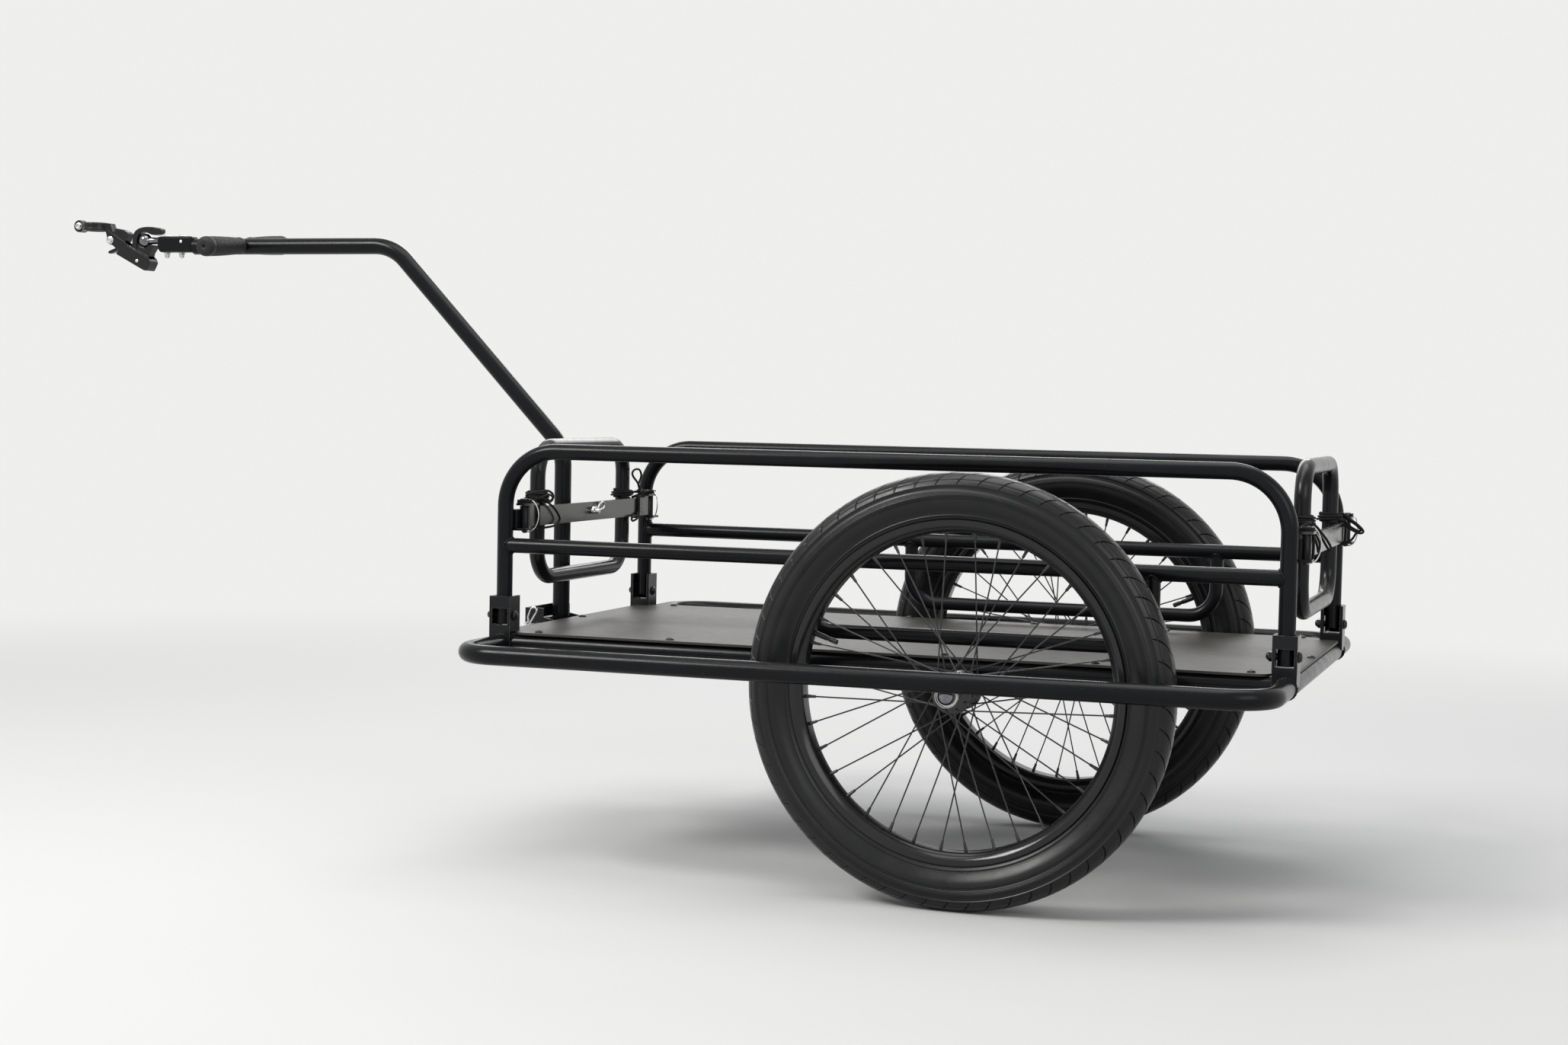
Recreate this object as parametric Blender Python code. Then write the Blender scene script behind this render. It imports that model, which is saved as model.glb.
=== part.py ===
"""Folding flat-bed bicycle trailer, in metres. Forward is +X, left is +Y, up is +Z."""

import math

import bmesh
import bpy
from mathutils import Matrix, Vector

# General fits
GAP = 0.0003
BORE_CLEARANCE = 0.0003
OVERLAP = 0.0005
CUT_REACH = 0.010
LONG_CUT_REACH = 0.030
SIDES = 12
SMALL_SIDES = 10
BEND_STEPS = 5
SHARP_ANGLE = math.radians(38)

# Main sizes of the trailer
TYRE_RADIUS = 0.255
TYRE_WIDTH = 0.050
FRAME_FRONT_X = 0.614
FRAME_REAR_X = -0.367
FRAME_HALF_WIDTH = 0.228
FRAME_RISE = 0.0185
FRAME_RADIUS = 0.012
PANEL_RADIUS = 0.010
PANEL_HEIGHT = 0.209
GATE_RADIUS = 0.010
DRAWBAR_RADIUS = 0.0114
DRAWBAR_RISE = 0.5132
DRAWBAR_LEVEL = 0.3199

# Wheels
BEAD_DEPTH = 0.0045
BEAD_RADIUS = TYRE_RADIUS - TYRE_WIDTH - BEAD_DEPTH
RIM_DEPTH = 0.0150
RIM_INNER_RADIUS = BEAD_RADIUS - RIM_DEPTH
RIM_NARROWING = 0.016
RIM_WIDTH = TYRE_WIDTH - RIM_NARROWING
RIM_LIP = 0.0022
RIM_WELL = 0.005
RIM_SLOPE = 0.0085
RIM_BRIDGE_SHARE = 0.55
TYRE_SHOULDER_ANGLE = -52
TYRE_STEPS = 10
WHEEL_SEGMENTS = 40
SPOKE_COUNT = 36
SPOKE_RADIUS = 0.0010
SPOKE_SWING = math.radians(62)
SPOKE_HOLE_DEPTH = 0.0035
SPOKE_RIM_OFFSET = 0.003
HUB_HALF_WIDTH = 0.0355
HUB_FLANGE_RADIUS = 0.0230
HUB_FLANGE_OFFSET = 0.0255
HUB_FLANGE_HALF = 0.0015
HUB_FLANGE_FOOT = 0.0045
HUB_CORE_RADIUS = 0.0150
AXLE_RADIUS = 0.0060
VALVE_LENGTH = 0.030
VALVE_RADIUS = 0.0026
VALVE_BASE_RADIUS = 0.0032
LEFT_VALVE_ANGLE = math.radians(18.8)
RIGHT_VALVE_ANGLE = math.radians(156.3)
WHEEL_GAP = 0.034
WHEEL_OFFSET = FRAME_HALF_WIDTH + FRAME_RADIUS + WHEEL_GAP + TYRE_WIDTH / 2

# Base frame and outriggers
AXLE_Z = TYRE_RADIUS
FRAME_Z = AXLE_Z + FRAME_RISE
FRAME_CORNER = 0.014
OUTRIGGER_GAP = 0.033
OUTRIGGER_Y = WHEEL_OFFSET + TYRE_WIDTH / 2 + OUTRIGGER_GAP + FRAME_RADIUS
OUTRIGGER_BEND = 0.050
AXLE_TUBE_RADIUS = 0.014
AXLE_SLEEVE_RADIUS = 0.0175
AXLE_END_GAP = 0.0013
AXLE_TUBE_END = WHEEL_OFFSET - HUB_HALF_WIDTH - AXLE_END_GAP
STUB_DEPTH = 0.109
STUB_INNER_Y = WHEEL_OFFSET - STUB_DEPTH

# Deck
DECK_THICKNESS = 0.0032
DECK_OVERHANG = 0.011
DECK_HALF_WIDTH = FRAME_HALF_WIDTH + DECK_OVERHANG
DECK_END_OVERHANG = 0.008
DECK_CORNER = 0.018

# Hinge brackets and bolts
BRACKET_PLATE = 0.0038
BRACKET_SEAT_RISE = 0.012
BRACKET_SEAT_Z = FRAME_Z + FRAME_RADIUS + BRACKET_SEAT_RISE
KNUCKLE_GAP = 0.0015
HINGE_Z = BRACKET_SEAT_Z + PANEL_RADIUS + KNUCKLE_GAP
BRACKET_TOP_Z = HINGE_Z + 0.025
BRACKET_STRAP_Z = HINGE_Z + 0.0095
BRACKET_BOTTOM_Z = FRAME_Z - 0.0025
BRACKET_DEPTH = 0.0055
BRACKET_INNER_Y = FRAME_HALF_WIDTH - PANEL_RADIUS - BRACKET_DEPTH
BRACKET_STRAP = 0.003
HINGE_BOLT_RADIUS = 0.004
HINGE_HEAD_RADIUS = 0.0065
HINGE_HEAD_HEIGHT = 0.0045

# Side panels
PANEL_SHIFT = 0.002
PANEL_FRONT_X = FRAME_FRONT_X + PANEL_SHIFT
PANEL_REAR_X = FRAME_REAR_X + PANEL_SHIFT
PANEL_TOP_Z = HINGE_Z + PANEL_HEIGHT
PANEL_BEND = 0.070
MID_RAIL_RISE = 0.089
MID_RAIL_Z = HINGE_Z + MID_RAIL_RISE
GUARD_FRONT_X = 0.213
GUARD_REAR_X = -0.211
GUARD_RISE = 0.002
GUARD_Z = HINGE_Z + GUARD_RISE
GUARD_BEND = 0.037

# Gates, their pins and the posts for the pins
FRONT_GATE_X = FRAME_FRONT_X
REAR_GATE_X = FRAME_REAR_X
PIN_RADIUS = 0.0038
PIN_HEAD_RADIUS = 0.0065
PIN_HEAD_HEIGHT = 0.006
PIN_POST_WALL = 0.0024
PIN_POST_RADIUS = PIN_RADIUS + PIN_POST_WALL
POST_CLEARANCE = 0.0135
PIN_POST_Y = FRAME_HALF_WIDTH - PANEL_RADIUS - POST_CLEARANCE
BAR_THICKNESS = 0.006
BAR_RISE = 0.023
BAR_HEIGHT = 0.025
BAR_LOW_Z = MID_RAIL_Z + BAR_RISE
BAR_HIGH_Z = BAR_LOW_Z + BAR_HEIGHT
BAR_END_GAP = 0.0028
BAR_HALF_LENGTH = PIN_POST_Y - PIN_POST_RADIUS - BAR_END_GAP
TAB_THICKNESS = 0.003
TAB_HALF_DEPTH = 0.009
TAB_LAP = 0.012
POST_LOW_Z = BAR_LOW_Z - 0.0014
POST_HIGH_Z = BAR_HIGH_Z + 0.0015
GATE_INSET = 0.0655
GATE_LEG_Y = PIN_POST_Y - GATE_INSET
GATE_TOP_Z = PANEL_TOP_Z + 0.004
GATE_DROP = 0.047
GATE_BOTTOM_Z = MID_RAIL_Z - GATE_DROP
GATE_BEND = 0.040

# Lanyards
LANYARD_RADIUS = 0.0018
LANYARD_WRAPS = 2
LANYARD_RISE = 0.0075
LANYARD_LOW_Z = BAR_HIGH_Z + LANYARD_RISE
LANYARD_SAG = 0.010

# Foot of the drawbar and the drawbar
DRAWBAR_GAP = 0.0068
DRAWBAR_X = FRONT_GATE_X + GATE_RADIUS + DRAWBAR_GAP + DRAWBAR_RADIUS
FOOT_PIN_X = DRAWBAR_X + 0.013
FOOT_PIN_Z = FRAME_Z + 0.0055
FOOT_TUBE_RADIUS = 0.010
FOOT_HALF_WIDTH = 0.043
FOOT_PLATE = 0.003
FOOT_TOP_Z = FOOT_PIN_Z + 0.023
FOOT_STEP_Z = FOOT_PIN_Z + 0.011
FOOT_LOW_Z = FOOT_PIN_Z - 0.017
FOOT_FRONT_X = FOOT_PIN_X + 0.020
FOOT_STEP_X = FOOT_PIN_X - 0.0065
FOOT_LAP_X = FRAME_FRONT_X + 0.006
FOOT_LAP_Z = FOOT_PIN_Z + 0.005
DRAWBAR_UPRIGHT = 0.2386
DRAWBAR_SLOPE = 0.2643
DRAWBAR_BEND = 0.065
DRAWBAR_LOW_CORNER_Z = FOOT_PIN_Z + DRAWBAR_UPRIGHT
DRAWBAR_TOP_Z = FOOT_PIN_Z + DRAWBAR_RISE
DRAWBAR_HIGH_CORNER_X = DRAWBAR_X + DRAWBAR_SLOPE
DRAWBAR_END_X = DRAWBAR_HIGH_CORNER_X + DRAWBAR_LEVEL
BAR_PIN_Z = (BAR_LOW_Z + BAR_HIGH_Z) / 2
BOSS_RADIUS = 0.0080

# Spring clips
CLIP_WIRE_RADIUS = 0.0011
CLIP_LENGTH = 0.024
CLIP_TAIL = 0.009
CLIP_LOOP_RADIUS = 0.0045
CLIP_STANDOFF = 0.005
CLIP_WAVE = ((0.50, 1.55), (0.30, 0.95), (0.16, 1.30), (0.0, 1.62), (-0.16, 1.30), (-0.32, 1.75))

# Handle
HANDLE_SETBACK = 0.0817
HANDLE_X = DRAWBAR_END_X - HANDLE_SETBACK
HANDLE_Z = DRAWBAR_TOP_Z + 0.001
HANDLE_RADIUS = 0.0090
HANDLE_HALF_LENGTH = 0.0995
HANDLE_TILT = math.radians(4.2)
HANDLE_AXIS = Vector((0, math.cos(HANDLE_TILT), -math.sin(HANDLE_TILT)))
HANDLE_MIDDLE = Vector((HANDLE_X, 0, HANDLE_Z))
GRIP_WALL = 0.0046
GRIP_NECK_WALL = 0.0027
GRIP_RADIUS = HANDLE_RADIUS + GAP + GRIP_WALL
GRIP_NECK_RADIUS = HANDLE_RADIUS + GAP + GRIP_NECK_WALL
GRIP_CAP = 0.0045
GRIP_END_Y = HANDLE_HALF_LENGTH + GRIP_CAP

# End fitting and ball
FITTING_LENGTH = 0.0583
FITTING_END_X = DRAWBAR_END_X + FITTING_LENGTH
FITTING_HALF_WIDTH = 0.010
FITTING_CHAMFER = 0.0045
FITTING_LOW_Z = DRAWBAR_TOP_Z - 0.0084
FITTING_HIGH_Z = DRAWBAR_TOP_Z + 0.0146
SPIGOT_RADIUS = 0.0060
SPIGOT_LENGTH = 0.018
FITTING_BOLT_XS = (DRAWBAR_END_X + 0.0222, DRAWBAR_END_X + 0.0465)
FITTING_BOLT_RADIUS = 0.0025
BALL_REACH = 0.0246
BALL_X = FITTING_END_X + BALL_REACH
BALL_Z = DRAWBAR_TOP_Z + 0.0086
BALL_RADIUS = 0.0104
COLLAR_RADIUS = 0.0060
NECK_RADIUS = 0.0050
STEM_RADIUS = 0.0039
STEM_START_X = FITTING_END_X - 0.0085

# Hitch head, claw and lever, with their outlines in X and Z from the middle of the ball
CHEEK_INNER_Y = 0.0068
CHEEK_PLATE = 0.0016
CHEEK_OUTER_Y = CHEEK_INNER_Y + CHEEK_PLATE
CLAW_HALF_WIDTH = CHEEK_INNER_Y - GAP
CLAW_PIVOT = (BALL_X + 0.0165, BALL_Z - 0.0145)
CLAW_PIN_RADIUS = 0.0024
LEVER_PLATE = 0.0016
LEVER_INNER_Y = CHEEK_OUTER_Y + GAP
LEVER_OUTER_Y = LEVER_INNER_Y + LEVER_PLATE
LEVER_PIVOT = (BALL_X + 0.0085, BALL_Z - 0.0293)
LEVER_PIN_RADIUS = 0.0024
CHEEK_OUTLINE = (
    (0.0620, 0.0007), (0.0612, 0.0050), (0.0594, 0.0154), (0.0453, 0.0068), (0.0266, -0.0052),
    (0.0079, -0.0144), (-0.0100, -0.0230), (-0.0095, -0.0255), (0.0035, -0.0310), (0.0065, -0.0327),
    (0.0105, -0.0327), (0.0125, -0.0310), (0.0240, -0.0190), (0.0330, -0.0135), (0.0452, -0.0117),
    (0.0530, -0.0060), (0.0590, -0.0045),
)
CUP_OUTLINE = (
    (-0.0180, -0.0065), (0.0100, -0.0065), (0.0105, -0.0110), (0.0095, -0.0215), (-0.0098, -0.0225),
    (-0.0110, -0.0180), (-0.0155, -0.0115),
)
ARM_OUTLINE = (
    (0.0490, 0.0120), (0.0480, 0.0172), (0.0456, 0.0178), (0.0331, 0.0151), (0.0265, 0.0105),
    (0.0290, 0.0000), (0.0400, -0.0095), (0.0470, -0.0095), (0.0475, 0.0020),
)
TONGUE_HALF_WIDTH = 0.0035
TONGUE_OUTLINE = (
    (0.0420, -0.0060), (0.0465, -0.0090), (0.0607, -0.0143), (0.0623, -0.0176), (0.0560, -0.0180),
    (0.0470, -0.0140), (0.0410, -0.0110),
)
CLAW_OUTLINE = (
    (0.0205, -0.0110), (0.0194, -0.0077), (0.0195, 0.0015), (0.0195, 0.0088), (0.0153, 0.0134),
    (0.0095, 0.0170), (0.0017, 0.0192), (-0.0068, 0.0201), (-0.0153, 0.0195), (-0.0214, 0.0184),
    (-0.0307, 0.0164), (-0.0315, 0.0131), (-0.0246, 0.0090), (-0.0195, 0.0072), (-0.0122, 0.0086),
    (-0.0068, 0.0109), (-0.0014, 0.0126), (0.0035, 0.0121), (0.0075, 0.0085), (0.0105, 0.0030),
    (0.0116, -0.0030), (0.0116, -0.0100), (0.0117, -0.0145), (0.0125, -0.0175), (0.0150, -0.0192),
    (0.0180, -0.0192), (0.0203, -0.0175), (0.0212, -0.0145),
)
LEVER_OUTLINE = (
    (0.0431, -0.0198), (0.0377, -0.0112), (0.0253, -0.0066), (-0.0113, -0.0245), (-0.0136, -0.0304),
    (-0.0075, -0.0435), (-0.0013, -0.0422),
)
LEVER_REAR_OUTLINE = (
    (-0.0115, -0.0265), (-0.0136, -0.0304), (-0.0075, -0.0435), (-0.0045, -0.0425), (-0.0103, -0.0302),
    (-0.0088, -0.0265),
)
LEVER_SOLE_OUTLINE = (
    (-0.0075, -0.0435), (-0.0013, -0.0422), (0.0050, -0.0390), (0.0040, -0.0362), (-0.0020, -0.0392),
    (-0.0060, -0.0402),
)

# Seat-post clamp
CLAMP_X = BALL_X + 0.0849
CLAMP_BORE = 0.0159
CLAMP_WALL = 0.0038
CLAMP_RADIUS = CLAMP_BORE + CLAMP_WALL
CLAMP_LOW_Z = BALL_Z + 0.0147
CLAMP_HIGH_Z = BALL_Z + 0.0262
CLAMP_REAR_BOLT = (BALL_X + 0.0552, BALL_Z + 0.0007)
CLAMP_FRONT_BOLT = (CLAMP_X + CLAMP_RADIUS + 0.0058, BALL_Z + 0.0215)
CLAMP_REAR_LUG_RADIUS = 0.0060
CLAMP_FRONT_LUG_RADIUS = 0.0088
CLAMP_LUG_HALF_WIDTH = CHEEK_INNER_Y - GAP
CLAMP_LUG_LAP = 0.0015
CLAMP_LUG_INSET = 0.001
REAR_LUG_NECK_X = CLAMP_REAR_BOLT[0] + 0.0017
CLAMP_BOLT_RADIUS = 0.003
CLAMP_HEAD_RADIUS = 0.0052
CLAMP_HEAD_HEIGHT = 0.0034
CLAMP_HEAD_CHAMFER = 0.0008

# Stub axles and push buttons
BUTTON_RADIUS = 0.0104
BUTTON_TRAVEL = 0.003
AXLE_HEAD_GAP = 0.004
AXLE_HEAD_LENGTH = 0.009
AXLE_HEAD_CHAMFER = 0.002
BUTTON_REACH = 0.0045
BUTTON_PROUD = 0.0015
BUTTON_CROWN = 0.0006
BUTTON_SEAT_DEPTH = 0.002
AXLE_HEAD_RADIUS = 0.0142
AXLE_HEAD_START = WHEEL_OFFSET + HUB_HALF_WIDTH + AXLE_HEAD_GAP
AXLE_HEAD_END = AXLE_HEAD_START + AXLE_HEAD_LENGTH
BUTTON_END = AXLE_HEAD_END + BUTTON_REACH


def make_material(name, colour, roughness, metallic):
    """One surface with its own colour and shine."""
    material = bpy.data.materials.new(name)
    material.use_nodes = True
    shader = material.node_tree.nodes["Principled BSDF"]
    shader.inputs["Base Color"].default_value = (*colour, 1.0)
    shader.inputs["Roughness"].default_value = roughness
    shader.inputs["Metallic"].default_value = metallic
    return material


def make_object(name, vertices, faces):
    """A closed mesh object whose faces point outwards."""
    mesh = bpy.data.meshes.new(name)
    mesh.from_pydata([tuple(v) for v in vertices], [], faces)
    work = bmesh.new()
    work.from_mesh(mesh)
    bmesh.ops.recalc_face_normals(work, faces=work.faces)
    work.to_mesh(mesh)
    work.free()
    item = bpy.data.objects.new(name, mesh)
    bpy.context.scene.collection.objects.link(item)
    return item


def ring_faces(ring_count, sides, closed):
    """Quads between neighbouring rings, with end caps on an open run."""
    faces = []
    last = ring_count if closed else ring_count - 1
    for ring in range(last):
        following = (ring + 1) % ring_count
        for side in range(sides):
            beside = (side + 1) % sides
            faces.append((
                ring * sides + side, ring * sides + beside,
                following * sides + beside, following * sides + side,
            ))
    if not closed:
        faces.append(tuple(range(sides)))
        faces.append(tuple(range((ring_count - 1) * sides, ring_count * sides)))
    return faces


def tube(name, points, normal, radius, closed=False, sides=SIDES):
    """A round bar swept along a path that lies in one plane."""
    path = [Vector(p) for p in points]
    normal = Vector(normal).normalized()
    vertices = []
    count = len(path)
    for index, point in enumerate(path):
        before = path[index - 1] if index or closed else point
        after = path[(index + 1) % count] if index < count - 1 or closed else point
        arriving = (point - before).normalized()
        leaving = (after - point).normalized()
        along = (arriving + leaving).normalized()
        across = along.cross(normal)
        stretch = 1.0
        if arriving.length > 0 and leaving.length > 0:
            stretch = 1.0 / max(0.5, along.dot(arriving))
        for side in range(sides):
            angle = 2 * math.pi * (side + 0.5) / sides
            offset = across * (math.cos(angle) * stretch) + normal * math.sin(angle)
            vertices.append(point + offset * radius)
    return make_object(name, vertices, ring_faces(count, sides, closed))


def rounded_path(corners, radius, closed=False, steps=BEND_STEPS):
    """Points along straight runs joined by arcs of one radius."""
    corners = [Vector(c) for c in corners]
    count = len(corners)
    points = []
    for index, corner in enumerate(corners):
        if not closed and index in (0, count - 1):
            points.append(corner)
            continue
        before = (corners[index - 1] - corner).normalized()
        after = (corners[(index + 1) % count] - corner).normalized()
        half = before.angle(after) / 2
        trim = radius / math.tan(half)
        centre = corner + (before + after).normalized() * (radius / math.sin(half))
        start = corner + before * trim - centre
        end = corner + after * trim - centre
        sweep = start.angle(end)
        for step in range(steps + 1):
            share = step / steps
            arm = start * math.sin((1 - share) * sweep) + end * math.sin(share * sweep)
            points.append(centre + arm / math.sin(sweep))
    return points


def turned(name, profile, centre, axis, sides=SIDES, closed=False):
    """A body of revolution from (radius, distance along the axis) pairs."""
    axis = Vector(axis).normalized()
    start = Vector((0, 0, -1)) if abs(axis.z) < 0.7 else Vector((1, 0, 0))
    start = (start - axis * start.dot(axis)).normalized()
    other = axis.cross(start)
    centre = Vector(centre)
    vertices = []
    for radius, distance in profile:
        for side in range(sides):
            angle = 2 * math.pi * side / sides
            arm = start * math.cos(angle) + other * math.sin(angle)
            vertices.append(centre + axis * distance + arm * radius)
    return make_object(name, vertices, ring_faces(len(profile), sides, closed))


def rod(name, start, end, radius, sides=SIDES):
    """A straight round bar between two points."""
    start = Vector(start)
    run = Vector(end) - start
    return turned(name, ((radius, 0), (radius, run.length)), start, run, sides)


def block(name, low, high):
    """A rectangular block between two corners."""
    xs, ys, zs = zip(low, high)
    vertices = [(x, y, z) for z in zs for x, y in (
        (xs[0], ys[0]), (xs[1], ys[0]), (xs[1], ys[1]), (xs[0], ys[1]))]
    return make_object(name, vertices, ring_faces(2, 4, False))


def side_plate(name, outline, low_y, high_y):
    """A flat plate drawn in X and Z and given a thickness in Y."""
    vertices = [(x, y, z) for y in (low_y, high_y) for x, z in outline]
    return make_object(name, vertices, ring_faces(2, len(outline), False))


def flat_plate(name, outline, low_z, high_z):
    """A flat plate drawn in X and Y and given a thickness in Z."""
    vertices = [(x, y, z) for z in (low_z, high_z) for x, y in outline]
    return make_object(name, vertices, ring_faces(2, len(outline), False))


def at_ball(outline):
    """An outline moved to the middle of the ball."""
    return [(BALL_X + x, BALL_Z + z) for x, z in outline]


def combine(base, tools, operation):
    """Joins or cuts a body with others, which are used up."""
    for tool in tools:
        modifier = base.modifiers.new("shape", "BOOLEAN")
        modifier.solver = "EXACT"
        modifier.operation = operation
        modifier.object = tool
        bpy.context.view_layer.update()
        depsgraph = bpy.context.evaluated_depsgraph_get()
        mesh = bpy.data.meshes.new_from_object(base.evaluated_get(depsgraph))
        base.modifiers.clear()
        base.data = mesh
        bpy.data.objects.remove(tool, do_unlink=True)
    return base


def join(base, *tools):
    return combine(base, tools, "UNION")


def cut(base, *tools):
    return combine(base, tools, "DIFFERENCE")


def around(radius):
    """The radius of a hole that clears a round bar of this radius however both are turned."""
    return (radius + GAP) / math.cos(math.pi / SIDES)


def finish(item, name, material, origin=(0, 0, 0)):
    """Names a body, gives it its surface and puts its origin on its own axis."""
    item.name = name
    item.data.name = name
    item.data.materials.clear()
    item.data.materials.append(material)
    item.data.shade_smooth()
    item.data.set_sharp_from_angle(angle=SHARP_ANGLE)
    item.data.transform(Matrix.Translation(-Vector(origin)))
    item.location = origin
    return item


def opposite(item, name):
    """The same body on the other side of the trailer."""
    twin = bpy.data.objects.new(name, item.data.copy())
    twin.data.name = name
    twin.data.transform(Matrix.Diagonal((1, -1, 1, 1)))
    twin.data.flip_normals()
    twin.location = (item.location.x, -item.location.y, item.location.z)
    bpy.context.scene.collection.objects.link(twin)
    return twin


for old in list(bpy.data.objects):
    bpy.data.objects.remove(old, do_unlink=True)

frame_paint = make_material("frame_paint", (0.012, 0.013, 0.016), 0.34, 0.15)
deck_board = make_material("deck_board", (0.045, 0.040, 0.036), 0.45, 0.0)
tyre_rubber = make_material("tyre_rubber", (0.016, 0.016, 0.017), 0.72, 0.0)
rim_black = make_material("rim_black", (0.010, 0.010, 0.011), 0.30, 0.6)
spoke_black = make_material("spoke_black", (0.014, 0.014, 0.015), 0.35, 0.8)
bright_steel = make_material("bright_steel", (0.62, 0.62, 0.60), 0.25, 1.0)
chrome_ball = make_material("chrome_ball", (0.40, 0.40, 0.42), 0.12, 1.0)
black_steel = make_material("black_steel", (0.018, 0.018, 0.018), 0.42, 0.5)
grip_rubber = make_material("grip_rubber", (0.020, 0.020, 0.021), 0.65, 0.0)
black_cord = make_material("black_cord", (0.012, 0.012, 0.013), 0.85, 0.0)

deck_low_z = FRAME_Z + FRAME_RADIUS + GAP
deck_high_z = deck_low_z + DECK_THICKNESS
frame_corners = (
    (FRAME_REAR_X, -FRAME_HALF_WIDTH, FRAME_Z), (FRAME_FRONT_X, -FRAME_HALF_WIDTH, FRAME_Z),
    (FRAME_FRONT_X, FRAME_HALF_WIDTH, FRAME_Z), (FRAME_REAR_X, FRAME_HALF_WIDTH, FRAME_Z),
)


def frame_ring(name, radius):
    """The closed ring of tube under the deck."""
    path = rounded_path(frame_corners, FRAME_CORNER, closed=True, steps=4)
    return tube(name, path, (0, 0, 1), radius, closed=True)


def end_tube(name, x):
    """Room for the straight tube that an end of the frame and the outriggers share."""
    half = OUTRIGGER_Y - OUTRIGGER_BEND
    return rod(name, (x, -half, FRAME_Z), (x, half, FRAME_Z), around(FRAME_RADIUS))


# Base frame with its axle tube
base_frame = frame_ring("ring", FRAME_RADIUS)
axle_tube = rod("axle_tube", (0, -AXLE_TUBE_END, AXLE_Z), (0, AXLE_TUBE_END, AXLE_Z), AXLE_TUBE_RADIUS)
sleeves = []
for side in (-1, 1):
    sleeve_start = side * (FRAME_HALF_WIDTH + FRAME_RADIUS)
    sleeves.append(rod(
        "sleeve", (0, sleeve_start, AXLE_Z), (0, side * AXLE_TUBE_END, AXLE_Z), AXLE_SLEEVE_RADIUS))
join(base_frame, axle_tube, *sleeves)
bore_radius = AXLE_RADIUS + BORE_CLEARANCE
sockets = []
for side in (-1, 1):
    sockets.append(rod(
        "socket", (0, side * (STUB_INNER_Y - GAP), AXLE_Z), (0, side * WHEEL_OFFSET, AXLE_Z), bore_radius))
cut(base_frame, *sockets)
finish(base_frame, "base_frame", frame_paint)

# Outriggers around the outside of the wheels
outrigger_start = FRAME_HALF_WIDTH + FRAME_RADIUS + GAP
outrigger_path = rounded_path((
    (FRAME_FRONT_X, outrigger_start, FRAME_Z), (FRAME_FRONT_X, OUTRIGGER_Y, FRAME_Z),
    (FRAME_REAR_X, OUTRIGGER_Y, FRAME_Z), (FRAME_REAR_X, outrigger_start, FRAME_Z),
), OUTRIGGER_BEND, steps=6)
outrigger_left = tube("outrigger", outrigger_path, (0, 0, 1), FRAME_RADIUS)
finish(outrigger_left, "outrigger_left", frame_paint)
opposite(outrigger_left, "outrigger_right")

# Hinge brackets and their bolts
leg_half = PANEL_RADIUS + OVERLAP
plate_inner = leg_half
plate_outer = leg_half + BRACKET_PLATE
strap_inner_y = FRAME_HALF_WIDTH + leg_half
strap_outer_y = strap_inner_y + BRACKET_STRAP
bolt_clearance = HINGE_BOLT_RADIUS + BORE_CLEARANCE
for end, leg_x, tube_x in (("front", PANEL_FRONT_X, FRAME_FRONT_X), ("rear", PANEL_REAR_X, FRAME_REAR_X)):
    bracket = block(
        "bracket", (leg_x - plate_outer, BRACKET_INNER_Y, BRACKET_BOTTOM_Z),
        (leg_x + plate_outer, strap_outer_y, BRACKET_TOP_Z))
    above_seat = block(
        "above_seat", (leg_x - plate_inner, BRACKET_INNER_Y - CUT_REACH, BRACKET_SEAT_Z),
        (leg_x + plate_inner, strap_inner_y, BRACKET_TOP_Z + CUT_REACH))
    window = block(
        "window", (leg_x - plate_inner, strap_inner_y - OVERLAP, BRACKET_SEAT_Z),
        (leg_x + plate_inner, strap_outer_y + CUT_REACH, BRACKET_STRAP_Z))
    ring = frame_ring("ring", FRAME_RADIUS + GAP)
    line = end_tube("line", tube_x)
    bore = rod(
        "bore", (leg_x - LONG_CUT_REACH, FRAME_HALF_WIDTH, HINGE_Z),
        (leg_x + LONG_CUT_REACH, FRAME_HALF_WIDTH, HINGE_Z), bolt_clearance)
    below = block(
        "below", (leg_x - LONG_CUT_REACH, BRACKET_INNER_Y - CUT_REACH, BRACKET_BOTTOM_Z - CUT_REACH),
        (leg_x + LONG_CUT_REACH, strap_outer_y + CUT_REACH, FRAME_Z))
    cut(bracket, above_seat, window, below, ring, line, bore)
    finish(bracket, f"hinge_bracket_{end}_left", frame_paint)
    opposite(bracket, f"hinge_bracket_{end}_right")
    head_start = plate_outer + GAP
    profile = (
        (HINGE_HEAD_RADIUS * 0.55, -head_start - HINGE_HEAD_HEIGHT),
        (HINGE_HEAD_RADIUS * 0.9, -head_start - HINGE_HEAD_HEIGHT * 0.7),
        (HINGE_HEAD_RADIUS, -head_start), (HINGE_BOLT_RADIUS, -head_start),
        (HINGE_BOLT_RADIUS, head_start), (HINGE_HEAD_RADIUS, head_start),
        (HINGE_HEAD_RADIUS * 0.9, head_start + HINGE_HEAD_HEIGHT * 0.7),
        (HINGE_HEAD_RADIUS * 0.55, head_start + HINGE_HEAD_HEIGHT),
    )
    bolt = turned("bolt", profile, (leg_x, FRAME_HALF_WIDTH, HINGE_Z), (1, 0, 0), SMALL_SIDES)
    finish(bolt, f"hinge_bolt_{end}_left", black_steel)
    opposite(bolt, f"hinge_bolt_{end}_right")

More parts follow.
